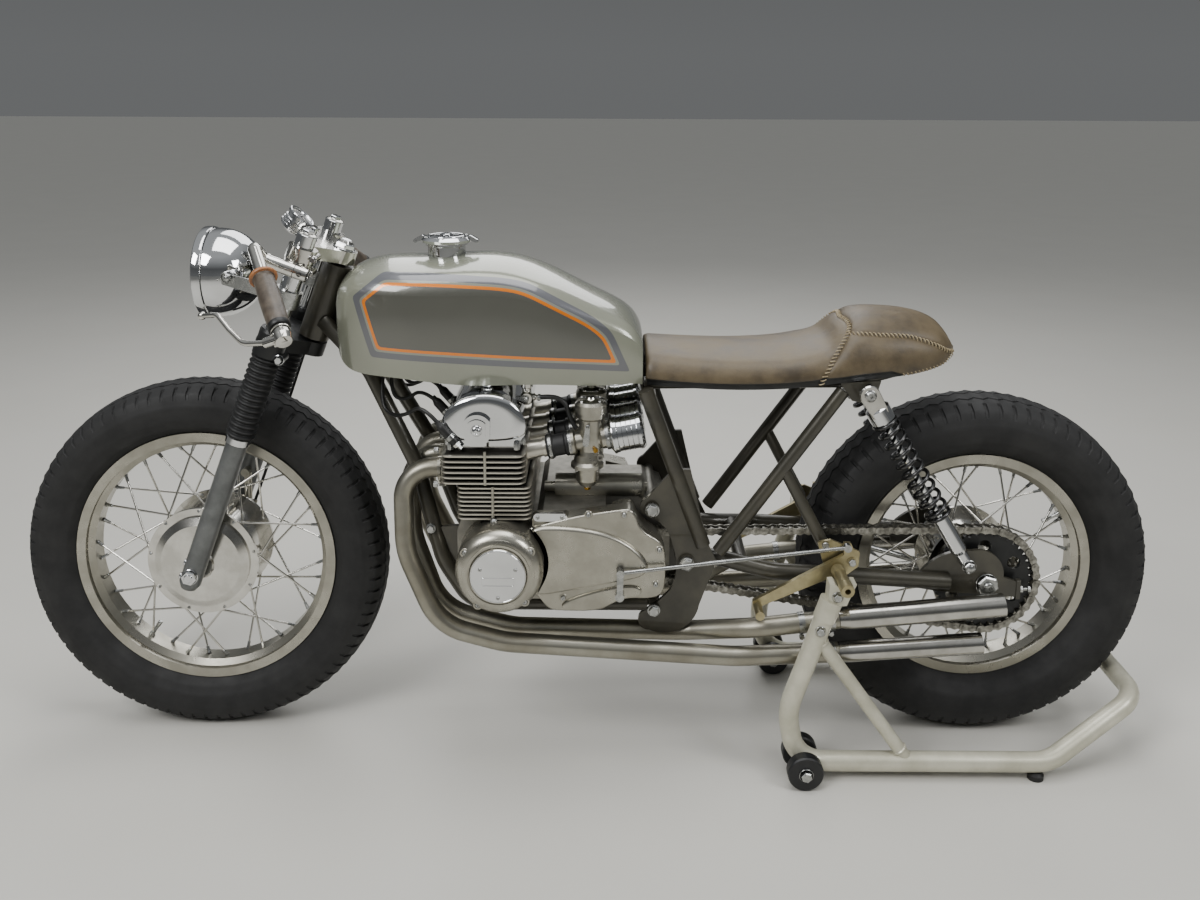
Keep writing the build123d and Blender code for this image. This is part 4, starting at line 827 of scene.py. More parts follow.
def makeSeat(look):
    # sections stand closer over the hump; the outermost strips fold under the edge in black
    xs = [102 + 0.6 * k for k in range(3)] + [104 + 4 * k for k in range(1, 78)]
    xs += [416 + 2.6 * k for k in range(1, 93)] + [657, 660]
    rows = []
    for x in sorted({round(min(x, 660.0), 2) for x in xs}):
        section = seatSection(x)
        total = section[1][-1]
        strip = look["strip"] * max(0.0, min(1.0, (look["stripEnd"] - x) / look["stripFade"]))
        spots = [strip * k / 3 for k in range(3)]
        spots += [strip + (total - 2 * strip) * k / look["columns"] for k in range(look["columns"] + 1)]
        spots += [total - strip * k / 3 for k in (2, 1, 0)]
        inset = 0.004 * max(0.0, 1 - (x - 102) / 4) ** 2
        row = []
        for k, spot in enumerate(spots):
            point = mm(x, *alongSection(section, spot))
            away = Vector((0, point.y, point.z - 0.66)).normalized()
            folded = strip > 2 and (k < 3 or k > len(spots) - 4)
            row.append(point - away * (inset + (look["fold"] if folded else 0)))
        rows.append(row)
    near = [point for line in seams for point in line]
    tree = kdtree.KDTree(len(near))
    for k, point in enumerate(near):
        tree.insert(point, k)
    tree.balance()
    shaped = []
    for a, row in enumerate(rows):
        new = list(row)
        for b in range(3, len(row) - 3):
            point = row[b]
            ahead = rows[min(a + 1, len(rows) - 1)][b] - rows[max(a - 1, 0)][b]
            across = row[b + 1] - row[b - 1]
            normal = across.cross(ahead).normalized() if across.length > 1e-7 and ahead.length > 1e-7 else Vector()
            if normal.dot(Vector((0, point.y, point.z - 0.70))) < 0:
                normal = -normal
            gap = tree.find(point)[2]
            lift = look["puff"] * min(gap / look["puffWidth"], 1.0)
            lift *= min(1, (look["tail"] - point.x) / look["tailFade"])
            lift -= look["groove"] / (1 + (gap / look["grooveWidth"]) ** 4)
            new[b] = point + normal * lift
        shaped.append(new)
    shape = Shape()
    wide = len(shaped[0])
    shape.grid(shaped)
    for k, (corners, _) in enumerate(shape.faces):
        if not 3 <= k % (wide - 1) < wide - 4:
            shape.faces[k] = (corners, 1)
    under = [[row[-1] + (row[0] - row[-1]) * (k / 6) + Vector((0, 0, 0.004 if 0 < k < 6 else 0)) for k in range(7)]
             for row in shaped]
    shape.grid(under, index=1)
    shape.cap(shaped[0], 0, flip=True)
    shape.cap(shaped[-1], 0)
    body = makePiece("seatHide", shape, "waxedSeatHide blackSteelPaint", "frame", ("seat",), 60)
    thread = Shape()
    step = round(look["stitch"] / look["seamStep"])
    for line in seams + stitchedEdges:
        for k in range(2, len(line) - step, step):
            point, ahead = line[k], (line[k + 1] - line[k - 1]).normalized()
            away = Vector((0, point.y * 1.2, point.z - 0.69)).normalized()
            away = (away - ahead * away.dot(ahead)).normalized()
            slant = (ahead.cross(away) + ahead * 0.75).normalized() * look["stitchHalf"]
            thread.tube([point + slant * s + away * h for s, h in look["stitchArch"]], look["thread"], 6)
    makePiece("seatStitches", thread, "waxedThread", "frame", crease=80)


makeSeat(seat)
print("seat ready")

# leather grips on the bars, with a tan flange, a chrome ring and a dark end ring; sizes in mm
elbow, barEnd = onLeg(-70, -150, 627), onLeg(52.9, -309.5, 552.5)
grip = {"start": 0.37, "end": 0.96, "radius": 17.5, "stitch": 5}


def makeGrips(look):
    shape = Shape()
    for a, b in ((elbow, barEnd), (mirrored(elbow), mirrored(barEnd))):
        along = (b - a).normalized()
        start, length = a + (b - a) * look["start"], (b - a).length * (look["end"] - look["start"]) * 1000
        r = look["radius"]
        shape.lathe(start, along, (11.4, -1, 18.5, -1, 19.2, 0.2, 18.5, 1.5), 32, 2)
        shape.lathe(start, along, (18.5, 1.2, 22.2, 1.2, 23.2, 2.8, 23.2, 5.2, 22.2, 6.8, r + 1.2, 7.8), 32, 1)
        sleeve = [r + 1.2, 7.6]
        for k in range(13):
            sleeve += [r - 0.4 + 0.9 * sin(pi * k / 12), 10 + (length - 20) * k / 12]
        shape.lathe(start, along, sleeve + [r - 0.6, length - 9.5], 36, 0)
        shape.lathe(start, along, (r - 0.6, length - 10, r + 0.4, length - 9, r + 0.4, length - 2, r - 1, length,
                                   11.4, length), 32, 3)
        below = Vector((0.35, 0, -1))
        below = (below - along * below.dot(along)).normalized()
        turn = along.cross(below)
        for k in range(int((length - 24) / look["stitch"])):
            at = start + (along * (13 + look["stitch"] * k) + below * (r + 0.4)) / 1000
            shape.tube([at - turn * 0.0024, at + below * 0.0007, at + turn * 0.0024 + along * 0.0022], 0.6, 5, 4)
    makePiece("gripSleeves", shape, "rubbedGripHide tanGripHide chromedSteel blackSteelPaint waxedThread", "steering",
              ("grips",), 35)


makeGrips(grip)

# fork gaiters: soft rounded rings with a clip at each end
gaiter = {"from": 277.2, "to": 436.3, "rings": 15, "valley": 20.7, "ring": 26.2}


def makeGaiters(look):
    shape = Shape()
    count, length = look["rings"] * 10, look["to"] - look["from"]
    middle, swing = (look["valley"] + look["ring"]) / 2, (look["ring"] - look["valley"]) / 2
    outline = [17.9, 0]
    for k in range(count + 1):
        wave = -cos(2 * pi * k / count * look["rings"])
        outline += [middle + swing * (abs(wave) ** 0.8) * (1 if wave > 0 else -1), length * k / count]
    clip = (20.5, 0, 22.5, 0, 22.5, 4.5, 20.5, 4.5)
    shape.fit([((0, 97.5, look["from"]), forkUp, 36, outline + [17.9, length], 0),
               ((0, 97.5, look["from"] + 2.2), forkUp, 36, clip, 1),
               ((0, 97.5, look["to"] - 6.2), forkUp, 36, clip, 1)], onLeg)
    makePiece("forkGaiterRings", shape, "gaiterRubber blackSteelPaint", "steering",
              ("fork_gaiters",), 50)


makeGaiters(gaiter)

# front brake cable: the route's points as in the source, in metres
brakeCable = {"points": [(-0.4989, 0.128, 0.8865), (-0.546, 0.150, 0.756), (-0.600, 0.140, 0.600),
                         (-0.640, 0.112, 0.470), (-0.662, 0.088, 0.404)], "length": 0.52, "radius": 0.003}


def routeCurve(name, points):
    # smooth line through a cord's control points
    curve = bpy.data.curves.new(name, "CURVE")
    curve.dimensions = "3D"
    spline = curve.splines.new("NURBS")
    spline.points.add(len(points) - 1)
    for point, place in zip(spline.points, points):
        point.co = (*place, 1)
    spline.order_u = 3
    spline.use_endpoint_u = True
    spline.resolution_u = 24
    return curve


def routeLength(points):
    # length of the smooth line through the points, rounded to the millimetre; close
    # enough to declare
    curve = routeCurve("ruler", points)
    ruler = bpy.data.objects.new("ruler", curve)
    mesh = bpy.data.meshes.new_from_object(ruler)
    total = sum((mesh.vertices[e.vertices[0]].co - mesh.vertices[e.vertices[1]].co).length for e in mesh.edges)
    bpy.data.objects.remove(ruler)
    bpy.data.curves.remove(curve)
    bpy.data.meshes.remove(mesh)
    return round(total, 3)


def makeCable(name, look, body, finish, stands):
    curve = routeCurve(name, look["points"])
    curve.bevel_depth, curve.bevel_resolution, curve.use_fill_caps = look["radius"], 4, True
    curve.materials.append(materials[finish])
    thing = bpy.data.objects.new(name, curve)
    bpy.context.scene.collection.objects.link(thing)
    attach(thing, body)
    if stands:
        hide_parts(stands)


makeCable("brakeCable", brakeCable, "steering", "gaiterRubber", "front_brake_cable")
print("grips, gaiters and cable ready")

# gearbox cover: a cast plate with eased corners round the alternator, a domed panel, a filler neck and a foot
gearCover = {
    "plate": [(-84, 326), (-72, 310), (-56, 304), (18, 304), (42, 318), (64, 329), (108, 328), (128, 335), (135, 352),
              (136, 402), (131, 428), (120, 439), (103, 448), (88, 464), (83, 482), (74, 494), (56, 493), (-20, 481),
              (-62, 470)],
    "hollow": {"centre": (-152, 398), "radius": 76.2, "from": 52, "to": -46},
    "panel": [(-88, 334), (-30, 345), (20, 355), (62, 363), (92, 370), (106, 384), (101, 402), (82, 424), (52, 444),
              (10, 457), (-40, 463), (-90, 463)],
    "panelGap": 1.4,
    "foot": [(-50, 308), (18, 307), (58, 331), (94, 334), (93, 355), (42, 353), (-42, 327)],
    "neck": [(-44, 442, 8), (-43, 471, 10), (-89, 470, 9.5), (-92, 452, 6)],
    "housing": [(31, 336), (110, 335), (132, 350), (132, 410), (122, 432), (102, 444), (85, 462), (78, 484), (60, 484),
                (31, 474)],
}


def makeGearCover(look):
    shape = Shape()
    hollow = look["hollow"]
    cx, cz = hollow["centre"]

    def arc(gap):
        angles = [radians(hollow["from"] + (hollow["to"] - hollow["from"]) * k / 24) for k in range(25)]
        return [(cx + (hollow["radius"] + gap) * cos(a), cz + (hollow["radius"] + gap) * sin(a)) for a in angles]

    shape.relieved(softened(look["plate"] + arc(0), 2), [(0, 140), (0, 168), (0.5, 170), (1.6, 171.4), (3.2, 172)])
    shape.relieved(softened(look["panel"] + arc(look["panelGap"])[1:-1]), [
        (-0.8, 171), (0, 173.6), (1.0, 176), (2.4, 178), (4.0, 179.2), (5.6, 179.8)], back=False)
    shape.relieved(softened(look["foot"]), [(0, 171), (0.4, 174.6), (1.4, 176.4), (3, 177)], back=False)
    shape.relieved(ringOf(*look["neck"], count=8), [(0, 142), (0, 163.6), (0.7, 165.4), (2, 166.2)])
    shape.relieved(softened(look["housing"]), [(0, 98.2), (0, 141)])
    makePiece("gearboxCoverCasting", shape, "satinCoverAluminium", "frame", ("gearbox_cover",), 32)


makeGearCover(gearCover)

# alternator cover: spun disc with a bare raised panel, screwed ears and two beads
alternator = {"place": (-152, -140, 398), "disc": 47.8, "ears": (36, 147, 238, 311), "earCircle": 67.5,
              "beads": ((73.5, 71.2), (62, 86.8)), "screws": ((-30, 13), (30, 13), (0, -38))}


def makeAlternatorTrim(look):
    shape = Shape()
    x, y, z = look["place"]
    left, disc = (0, -1, 0), look["disc"]
    shape.lathe(mm(x, y, z), left, (disc, 93.8, disc - 0.8, 95.2, 46.2, 95.2, 45.8, 94.9, 45.4, 95.3, 30, 95.7,
                                    0, 95.9), 72)
    panel = ringOf((-24, 4, 3), (24, 4, 3), (-24, -4, 3), (24, -4, 3), count=4)
    shape.tube([mm(x + dx, y - 95.6, z - 9 + dz) for dx, dz in panel], 0.7, 8, closed=True)
    for dx, dz in look["screws"]:
        shape.roundScrew(mm(x + dx, y - 95.2, z + dz), left, 3.4, 2, 2)
    for angle in look["ears"]:
        dx, dz = look["earCircle"] * cos(radians(angle)), look["earCircle"] * sin(radians(angle))
        shape.lathe(mm(x + dx, y, z + dz), left, (8.5, 60, 8.5, 82.2, 7.7, 83.2, 5.5, 83.2, 5.3, 81.2), 24, 1)
        shape.roundScrew(mm(x + dx, y - 81.1, z + dz), left, 5, 3.6, 2)
    for r, d in look["beads"]:
        shape.lathe(mm(x, y, z), left, (r + 0.6, d - 0.6, r, d + 0.4, r - 0.6, d - 0.2), 72, 1)
    makePiece("alternatorTrim", shape, "chromedSteel satinCoverAluminium platedSteel", "frame",
              crease=30)


makeAlternatorTrim(alternator)

# engine screws, bolts with their size across the flats, studs from z to z, and nuts; all but the screws and the
# head's nuts are on both sides
engineFasteners = {
    "screws": [(0, -172, 484), (62, -172, 484), (118, -172, 356), (-44, -172, 330), (-100, -172, 352), (124, -172, 420),
               (-30, 184, 350), (70, 184, 350), (-60, 184, 440), (60, 184, 448), (10, 184, 462)],
    "bolts": [(-283, -113, 432, 13), (-262, -113, 373, 13), (113, -121, 472, 19), (118, -121, 281, 17),
              (176, -121, 371, 19), (-190, -140, 305, 12), (-130, -140, 305, 12)],
    "studs": [(-165, 175.5, 471, 535), (-177, 183.5, 541, 600)], "studRadius": 2.6,
    "studNuts": [((-163, 178, 468), above, 16, (6.2, 0, 6.8, 4, 6.8, 8, 4, 11, 0, 11), 1),
                 ((-238, 163, 598), above, "hex", (10, 12), 1), ((-124, 163, 598), above, "hex", (10, 12), 1)],
    "headNuts": [((x, y, 598), above, "hex", (10, 13), 1) for x in (-246, -116) for y in (-135, -80, 0, 80, 135)],
}


def makeEngineFasteners(look):
    shape = Shape()
    for x, y, z in look["screws"]:
        side = 1 if y > 0 else -1
        shape.fit([((x, abs(y) - 4, z), sideways, 20, (7.2, 0, 7.2, 4.2, 6.6, 4.8, 4.8, 4.8), 0),
                   ((x, abs(y) + 0.6, z), sideways, "screw", (4.6, 3.6), 1)], sides=(side,))
    for x, y, z, size in look["bolts"]:
        washer = (size * 0.68, 0, size * 0.68, 4.6, size * 0.62, 5, 0, 5)
        shape.fit([((x, abs(y) - 3, z), sideways, 24, washer, 1),
                   ((x, abs(y) + 1.8, z), sideways, "hex", (size, 6.2), 1)])
    for x, y, fromZ, toZ in look["studs"]:
        for side in (-1, 1):
            shape.tube([mm(x, side * y, fromZ), mm(x, side * y, toZ)], look["studRadius"])
    shape.fit(look["studNuts"])
    shape.fit(look["headNuts"], sides=(1,))
    makePiece("engineFasteners", shape, "satinCoverAluminium platedSteel", "frame", crease=30)


makeEngineFasteners(engineFasteners)

# rocker cover: cam caps at its ends, faces in mm, and bolts along the top
rockerCaps = {"place": (-191, 636), "faces": ((-1, 179.5), (1, 179)), "bolts": (-118, -37, 37, 118)}


def makeRockerTrim(look):
    shape = Shape()
    x, z = look["place"]
    for side, y in look["faces"]:
        shape.fit([((x, y - 1, z), sideways, 28, (9.8, 0, 9.8, 2.2, 9, 3, 0, 3), 0),
                   ((x, y + 1.8, z), sideways, 28, (7.8, 0, 7.8, 3, 6.4, 5.6, 3.4, 6.6, 3, 5.2, 0, 5), 0)],
                  sides=(side,))
    for y in look["bolts"]:
        shape.lathe(mm(-178, y, 690.5), above, (10.5, 0, 10.5, 3, 9.5, 4, 0, 4), 28)
        shape.hexBolt(mm(-178, y, 694), above, 13, 5.5)
    makePiece("rockerTrim", shape, "chromedSteel", "frame", crease=30)


makeRockerTrim(rockerCaps)

# spark plug caps, one per cylinder, with the outer two beside the rocker cover; in metres
plugs = {"places": [(-0.240, -0.1665, 0.624), (-0.266, -0.0375, 0.630), (-0.266, 0.0375, 0.630),
                    (-0.240, 0.1665, 0.624)], "way": Vector((-0.66, 0, 0.75)).normalized()}


def makePlugs(look):
    shape = Shape()
    for place in look["places"]:
        foot = Vector(place) - look["way"] * 0.028
        for outline, steps, index in (
                ((4.2, -4, 4.2, 4, 7.4, 4, 7.4, 10, 4.2, 10), 6, 1), ((4.2, 10, 8.4, 10, 8.8, 16, 8.8, 20), 24, 0),
                ((8.8, 20, 9.2, 20.5, 9.2, 27, 8.8, 27.5), 24, 1),
                ((8.8, 27.5, 8.6, 46, 7.2, 50, 5.2, 54, 4.6, 60, 0, 60), 24, 0)):
            shape.lathe(foot, look["way"], outline, steps, index)
    makePiece("sparkPlugCaps", shape, "blackCapRubber platedSteel", "frame", crease=35)


makePlugs(plugs)

# ignition leads from the plug caps up under the tank, as on the right side, and the fuel hose from the tap
leads = {"outer": [(-0.372, 0.052, 0.706), (-0.376, 0.072, 0.655), (-0.352, 0.092, 0.634), (-0.318, 0.128, 0.648),
                   (-0.284, 0.163, 0.678)],
         "inner": [(-0.360, 0.040, 0.706), (-0.360, 0.058, 0.664), (-0.334, 0.052, 0.650), (-0.304, 0.042, 0.672)],
         "radius": 0.0035}
fuelHose = {"points": [(-0.091, -0.100, 0.672), (-0.062, -0.101, 0.676), (-0.040, -0.103, 0.662),
                       (-0.034, -0.106, 0.636), (-0.022, -0.110, 0.618)], "radius": 0.0045}
hoses = {}
for index, (route, side) in enumerate((("outer", -1), ("inner", -1), ("inner", 1), ("outer", 1))):
    plugTop = Vector(plugs["places"][index]) + plugs["way"] * 0.012
    points = [(x, side * y, z) for x, y, z in leads[route]] + [tuple(plugTop)]
    hoses[f"ignitionLead{index + 1}"] = {"points": points, "radius": leads["radius"]}
hoses["fuelHose"] = fuelHose
for name, look in hoses.items():
    look["length"] = routeLength(look["points"])
    makeCable(name, look, "frame", "blackCapRubber", None)

# fuel tap under the tank
tap = {"body": [((-110, -100, 700), (0, 0, -1), 24, (10.5, 0, 10.5, 8, 8, 10, 8, 20, 11, 22, 12, 30, 11, 36, 6, 40,
                                                     0, 40), 0),
                ((-110, -100, 674), (0, -1, 0), 24, (9.5, 0, 11.5, 4, 11.5, 12, 9.5, 15, 0, 15), 0),
                ((-110, -119.5, 674), (0, -1, 0), "screw", (3.6, 2.2), 1)],
       "outlet": [((-110, -100, 674), (1, 0, -0.08), 16, (6.2, 0, 6.2, 14, 4.4, 16, 4.4, 24), 0),
                  ((-91, -100, 672.5), (1, 0, -0.08), 16, (4.7, 0, 6.2, 0.5, 6.2, 4.5, 4.7, 5), 1)],
       "lever": ringOf((-110, 674, 5), (-127, 677, 3.4))}


def makeTap(look):
    shape = Shape()
    shape.fit(look["body"] + look["outlet"], sides=(1,))
    shape.slab(look["lever"], -115.5, -120, 0.8, 1)
    makePiece("fuelTap", shape, "polishedAluminium platedSteel", "frame", crease=35)


makeTap(tap)

# carburettors: screwed caps, bowl rims, brass plugs, linkage, idle screws, boot clamps; pod filters: caps and clamps
inlets = {"rows": (-112.5, -37.5, 37.5, 112.5), "slope": 0.19, "clamps": (39.5, 74.5), "clampRadius": 22.2,
          "capScrews": (40, 140, 220, 320), "podRings": 5}


def inletPoint(row, along):
    return mm(-110 + along, row, 579 + inlets["slope"] * along)


def makeCarburettorTrim(look):
    shape = Shape()
    below, r = (0, 0, -1), look["clampRadius"]
    way = (inletPoint(0, 80) - inletPoint(0, 36)).normalized()
    for row in look["rows"]:
        side = -1 if row < 0 else 1
        shape.lathe(mm(3, row, 672), above, (23.5, -4, 24.3, -2, 23.8, 0.5, 10, 2.8, 8.5, 6, 0, 6.2), 32)
        for angle in look["capScrews"]:
            at = mm(3 + 20.5 * cos(radians(angle)), row + 20.5 * sin(radians(angle)), 671.5)
            shape.roundScrew(at, above, 3, 2.6, 2)
        for k in range(4):
            x, y = -3 + 25.5 * cos(pi / 4 + k * pi / 2), row + 25.5 * sin(pi / 4 + k * pi / 2)
            shape.lathe(mm(x, y, 550.4), below, (4.2, -6, 4.2, 0.8, 3.6, 1.6, 0, 1.6), 12, 1)
            shape.roundScrew(mm(x, y, 549), below, 3, 2.4, 2)
        y = abs(row)
        shape.fit([((-3, y, 513.5), below, "hex", (11, 6.2), 3),
                   ((-3, y, 520.5), below, 20, (7.5, 0, 7.5, 4, 0, 4), 3),
                   ((12, y + 19, 588), sideways, 16, (3.6, 0, 4.2, 2, 4.2, 8, 0, 8), 3),
                   ((20, y + 16, 575.5), sideways, 20, (5.5, 0, 5.5, 12, 3.2, 12, 3, 8, 0, 8), 1)], sides=(side,))
        shape.slab(ringOf((-5, 600, 6), (-2, 630, 4)), row + side * 23.5, row + side * 26.5, 0.6, 2)
        shape.tube([mm(-2, row + side * 27.5, 630), mm(-2, row + side * 18, 630)], 2.2, 10, 2)
        for along in look["clamps"]:
            start = inletPoint(row, along)
            shape.lathe(start, way, (r, 0, r + 0.9, 0.4, r + 0.9, 5.8, r, 6.2), 36, 2)
            ear = start + way * 0.003 + mm(0, side * (r + 2), 4)
            shape.roundScrew(ear, (0, side, 0), 3.2, 2.6, 2)
            shape.tube([ear + mm(0, -side * 2, 6), ear + mm(0, -side * 2, -12)], 2.6, 10, 2)
    shape.tube([mm(-2, -149, 630), mm(-2, 149, 630)], 2.4, 12, 2)
    makePiece("carburettorTrim", shape, "polishedAluminium sandCastAluminium platedSteel tarnishedBrass", "frame",
              crease=32)


def makePodTrim(look):
    shape = Shape()
    way = (inletPoint(0, 205) - inletPoint(0, 146)).normalized()
    parts = [(146.6, (24.2, 0, 33, 5.2, 33.4, 7, 33, 9), 48, 0),
             (146.4, (22.6, -7, 23.8, -6.5, 23.8, -0.5, 22.6, 0), 36, 1),
             (205, (29, 0.6, 27, 2.2, 25.5, 1.4, 12, 1.2, 10, 2.4, 0, 2.6), 48, 0)]
    parts += [(160 + 8.6 * k, (30.4, 0, 31.2, 0.8, 30.4, 1.6), 48, 0) for k in range(look["podRings"])]  # pressed rings
    for row in look["rows"]:
        side = -1 if row < 0 else 1
        for along, outline, steps, index in parts:
            shape.lathe(inletPoint(row, along), way, outline, steps, index)
        shape.roundScrew(inletPoint(row, 143.5) + mm(0, side * 25.5, 2), (0, side, 0), 3.4, 3, 1)
    makePiece("podTrim", shape, "chromedSteel platedSteel", "frame", crease=28)


makeCarburettorTrim(inlets)
makePodTrim(inlets)

# cooling fins of the exhaust collars, by the face of the ports; every third one is longer
collar = {"x": -265.7, "z": 547, "fins": 12, "foot": 22.5, "tips": (37, 33.5, 33.5)}


def makeCollarFins(look):
    shape = Shape()
    for row in inlets["rows"]:
        start = mm(look["x"], row, look["z"])
        for k in range(look["fins"]):
            angle = 2 * pi * k / look["fins"] + 0.13
            away, flat = Vector((0, cos(angle), sin(angle))), Vector((0, -sin(angle), cos(angle)))
            foot, tip = [[start + (away * reach + flat * s * thick + Vector((x, 0, 0))) / 1000
                          for s, x in ((-1, near), (1, near), (1, far), (-1, far))]
                         for reach, thick, near, far in ((look["foot"], 1.3, 0, 13),
                                                         (look["tips"][k % 3], 0.8, 1, 10.5))]
            shape.grid([foot, tip], closeColumns=True)
            shape.cap(tip)
        for side in (-1, 1):
            shape.hexBolt(start + mm(-2, side * 6, side * 29), (-1, 0, 0), 11, 8, 1)
    makePiece("collarFins", shape, "satinCoverAluminium platedSteel", "frame", crease=30)


makeCollarFins(collar)
print("engine trim ready")

# rocker cover ends: cushioned faces outside the flat ends of the casting
rockerEnd = {"outline": [(-112, 611), (-105, 646), (-124, 678), (-158, 695), (-202, 694), (-240, 676), (-257, 642),
                         (-247, 611)], "centre": (-183, 640), "face": 157.5, "lift": 8.5, "shrink": 0.30}


def makeRockerEnds(look):
    shape = Shape()
    cx, cz = look["centre"]
    for side in (-1, 1):
        rings = []
        for k in range(11):
            angle = pi / 2 * k / 10
            share = 1 - look["shrink"] * (1 - cos(angle))
            y = side * (look["face"] + look["lift"] * sin(angle))
            rings.append([mm(cx + (x - cx) * share, y, cz + (z - cz) * share) for x, z in softened(look["outline"])])
        shape.grid(rings, closeColumns=True, flip=side < 0)
        shape.cap(rings[-1], flip=side < 0)
    makePiece("rockerEnds", shape, "chromedSteel", "frame", crease=50)


makeRockerEnds(rockerEnd)

# headlight: bezel with its clamp screw, fluted glass, reflector and bulb, bracket bolts
light = {"centre": onLeg(-167.2, 0, 512.9), "bolt": (69, -100.4, 8), "glass": 0.0758, "dome": 0.0115, "flutes": 22}


def makeHeadlight(look):
    shape = Shape()
    centre, behind = look["centre"], (1, 0, 0)
    shape.lathe(centre, behind, (76.2, -2.6, 79, -4.8, 81.6, -4.6, 83.4, -2.8, 84, 0, 84, 9.8, 83.2, 12.2,
                                 81.2, 13.4), 96)
    low = Vector((0, -0.62, -0.785)).normalized()
    shape.lathe(centre + low * 0.0836 + mm(5, 0, 0), low, (4.6, 0, 4.6, 2, 3.6, 2.6), 20)
    shape.roundScrew(centre + low * 0.0850 + mm(5, 0, 0), low, 3.4, 2.4, 1)
    for side in (-1, 1):
        bolt = centre + mm(*look["bolt"])
        bolt.y *= -side
        outside = Vector((0, side, 0))
        shape.lathe(bolt, outside, (11.8, 0, 11.8, 1.4, 11, 1.8), 28, 1)
        shape.hexBolt(bolt + outside * 0.0014, outside, 13, 6.2, 1)
        shape.lathe(bolt + outside * 0.0074, outside, (5.2, 0, 4.4, 1.8, 1.8, 2.8, 0, 3), 20, 1)
        shape.lathe((bolt.x, bolt.y * 0.86, bolt.z), outside, (9.2, -10, 10.4, -8, 10.4, 4, 9.2, 6), 24)
    shape.lathe(centre, behind, (75.2, 8, 66, 22, 52, 37, 34, 49, 14, 55, 0, 56), 64)
    shape.lathe(centre, (-1, 0, 0), (8.5, -55, 8.5, -44, 10.5, -42, 10.5, -38), 24, 1)
    shape.lathe(centre, (-1, 0, 0), (7.8, -38, 9.5, -30, 9.2, -22, 6, -16, 0, -14.5), 24, 2)
    makePiece("headlightTrim", shape, "chromedSteel platedSteel frostedBulb", "steering", crease=32)
    glass = Shape()
    rows = []
    for k in range(25):
        dome = look["dome"] * (1 - (k / 24) ** 2) ** 0.85
        ring = []
        for j in range(96):
            y, z = (look["glass"] * k / 24 * turn(2 * pi * j / 96) for turn in (cos, sin))
            flute = 0.00045 * abs(sin(pi * look["flutes"] * (y / look["glass"] + 1) / 4)) * min(1, (24 - k) / 4)
            ring.append(centre + Vector((flute - dome, y, z)))
        rows.append(ring)
    rows.append([p + mm(5, 0, 0) for p in rows[-1]])
    rows.append([centre + Vector((0.003, (p.y - centre.y) * 0.5, (p.z - centre.z) * 0.5)) for p in rows[-1]])
    glass.grid(rows, closeColumns=True)
    glass.cap(rows[-1])
    makePiece("headlightGlass", glass, "headlightGlass", "steering", ("headlight_lens",), 60)


makeHeadlight(light)

# speedometer: bezel, dark dial with ticks round it, needle and case rings
speedo = {"centre": onLeg(-43, -20, 659), "axis": Vector((0.7071, 0, 0.7071)), "ticks": 41, "from": 235, "sweep": 290,
          "rings": (-7.5, -1.5, 4.5), "foot": (-6, -20, 643)}


def makeSpeedometer(look):
    shape = Shape()
    centre, axis = look["centre"], look["axis"]
    shape.lathe(centre, axis, (20.6, 16.6, 22.2, 19, 24.4, 20, 26, 19, 26.3, 16.5, 25.8, 14), 56)
    shape.lathe(centre, axis, (21, 16.3, 20.8, 16.6, 0, 16.6), 48, 1)
    across = Vector(sideways)
    up = axis.cross(across).normalized()

    def mark(degrees, fromR, toR, half, lift):
        away = across * cos(radians(degrees)) + up * sin(radians(degrees))
        flat = axis.cross(away)
        corners = [centre + (away * r + flat * s * half + axis * lift) / 1000
                   for r, s in ((fromR, -1), (fromR, 1), (toR, 0.8), (toR, -0.8))]
        top = [p + axis * 0.0002 for p in corners]
        shape.grid([corners, top], closeColumns=True, index=2)
        shape.cap(top, 2)

    for k in range(look["ticks"]):
        start, half = (16.6, 0.22) if k % 5 else (15, 0.4)
        mark(look["from"] - look["sweep"] * k / (look["ticks"] - 1), start, 18.8, half, 16.6)
    mark(look["from"], -3.5, 15, 0.45, 17.5)
    shape.lathe(centre + axis * 0.0166, axis, (2.6, 0, 2.6, 1.2, 1.8, 1.6, 0, 1.6), 20, 1)
    for d in look["rings"]:
        shape.lathe(centre, axis, (22.2, d - 1.8, 24.6, d - 1.2, 24.6, d + 1.2, 22.2, d + 1.8), 48)
    foot = onLeg(*look["foot"])
    shape.lathe(foot, forkUp, (9.5, 0, 9.5, 2.2, 5.5, 3), 24)
    shape.hexBolt(foot + forkUp * 0.0165, forkUp, 11.5, 4.5)
    makePiece("speedometerTrim", shape, "chromedSteel dialEnamel dialPrint", "steering", crease=32)


makeSpeedometer(speedo)
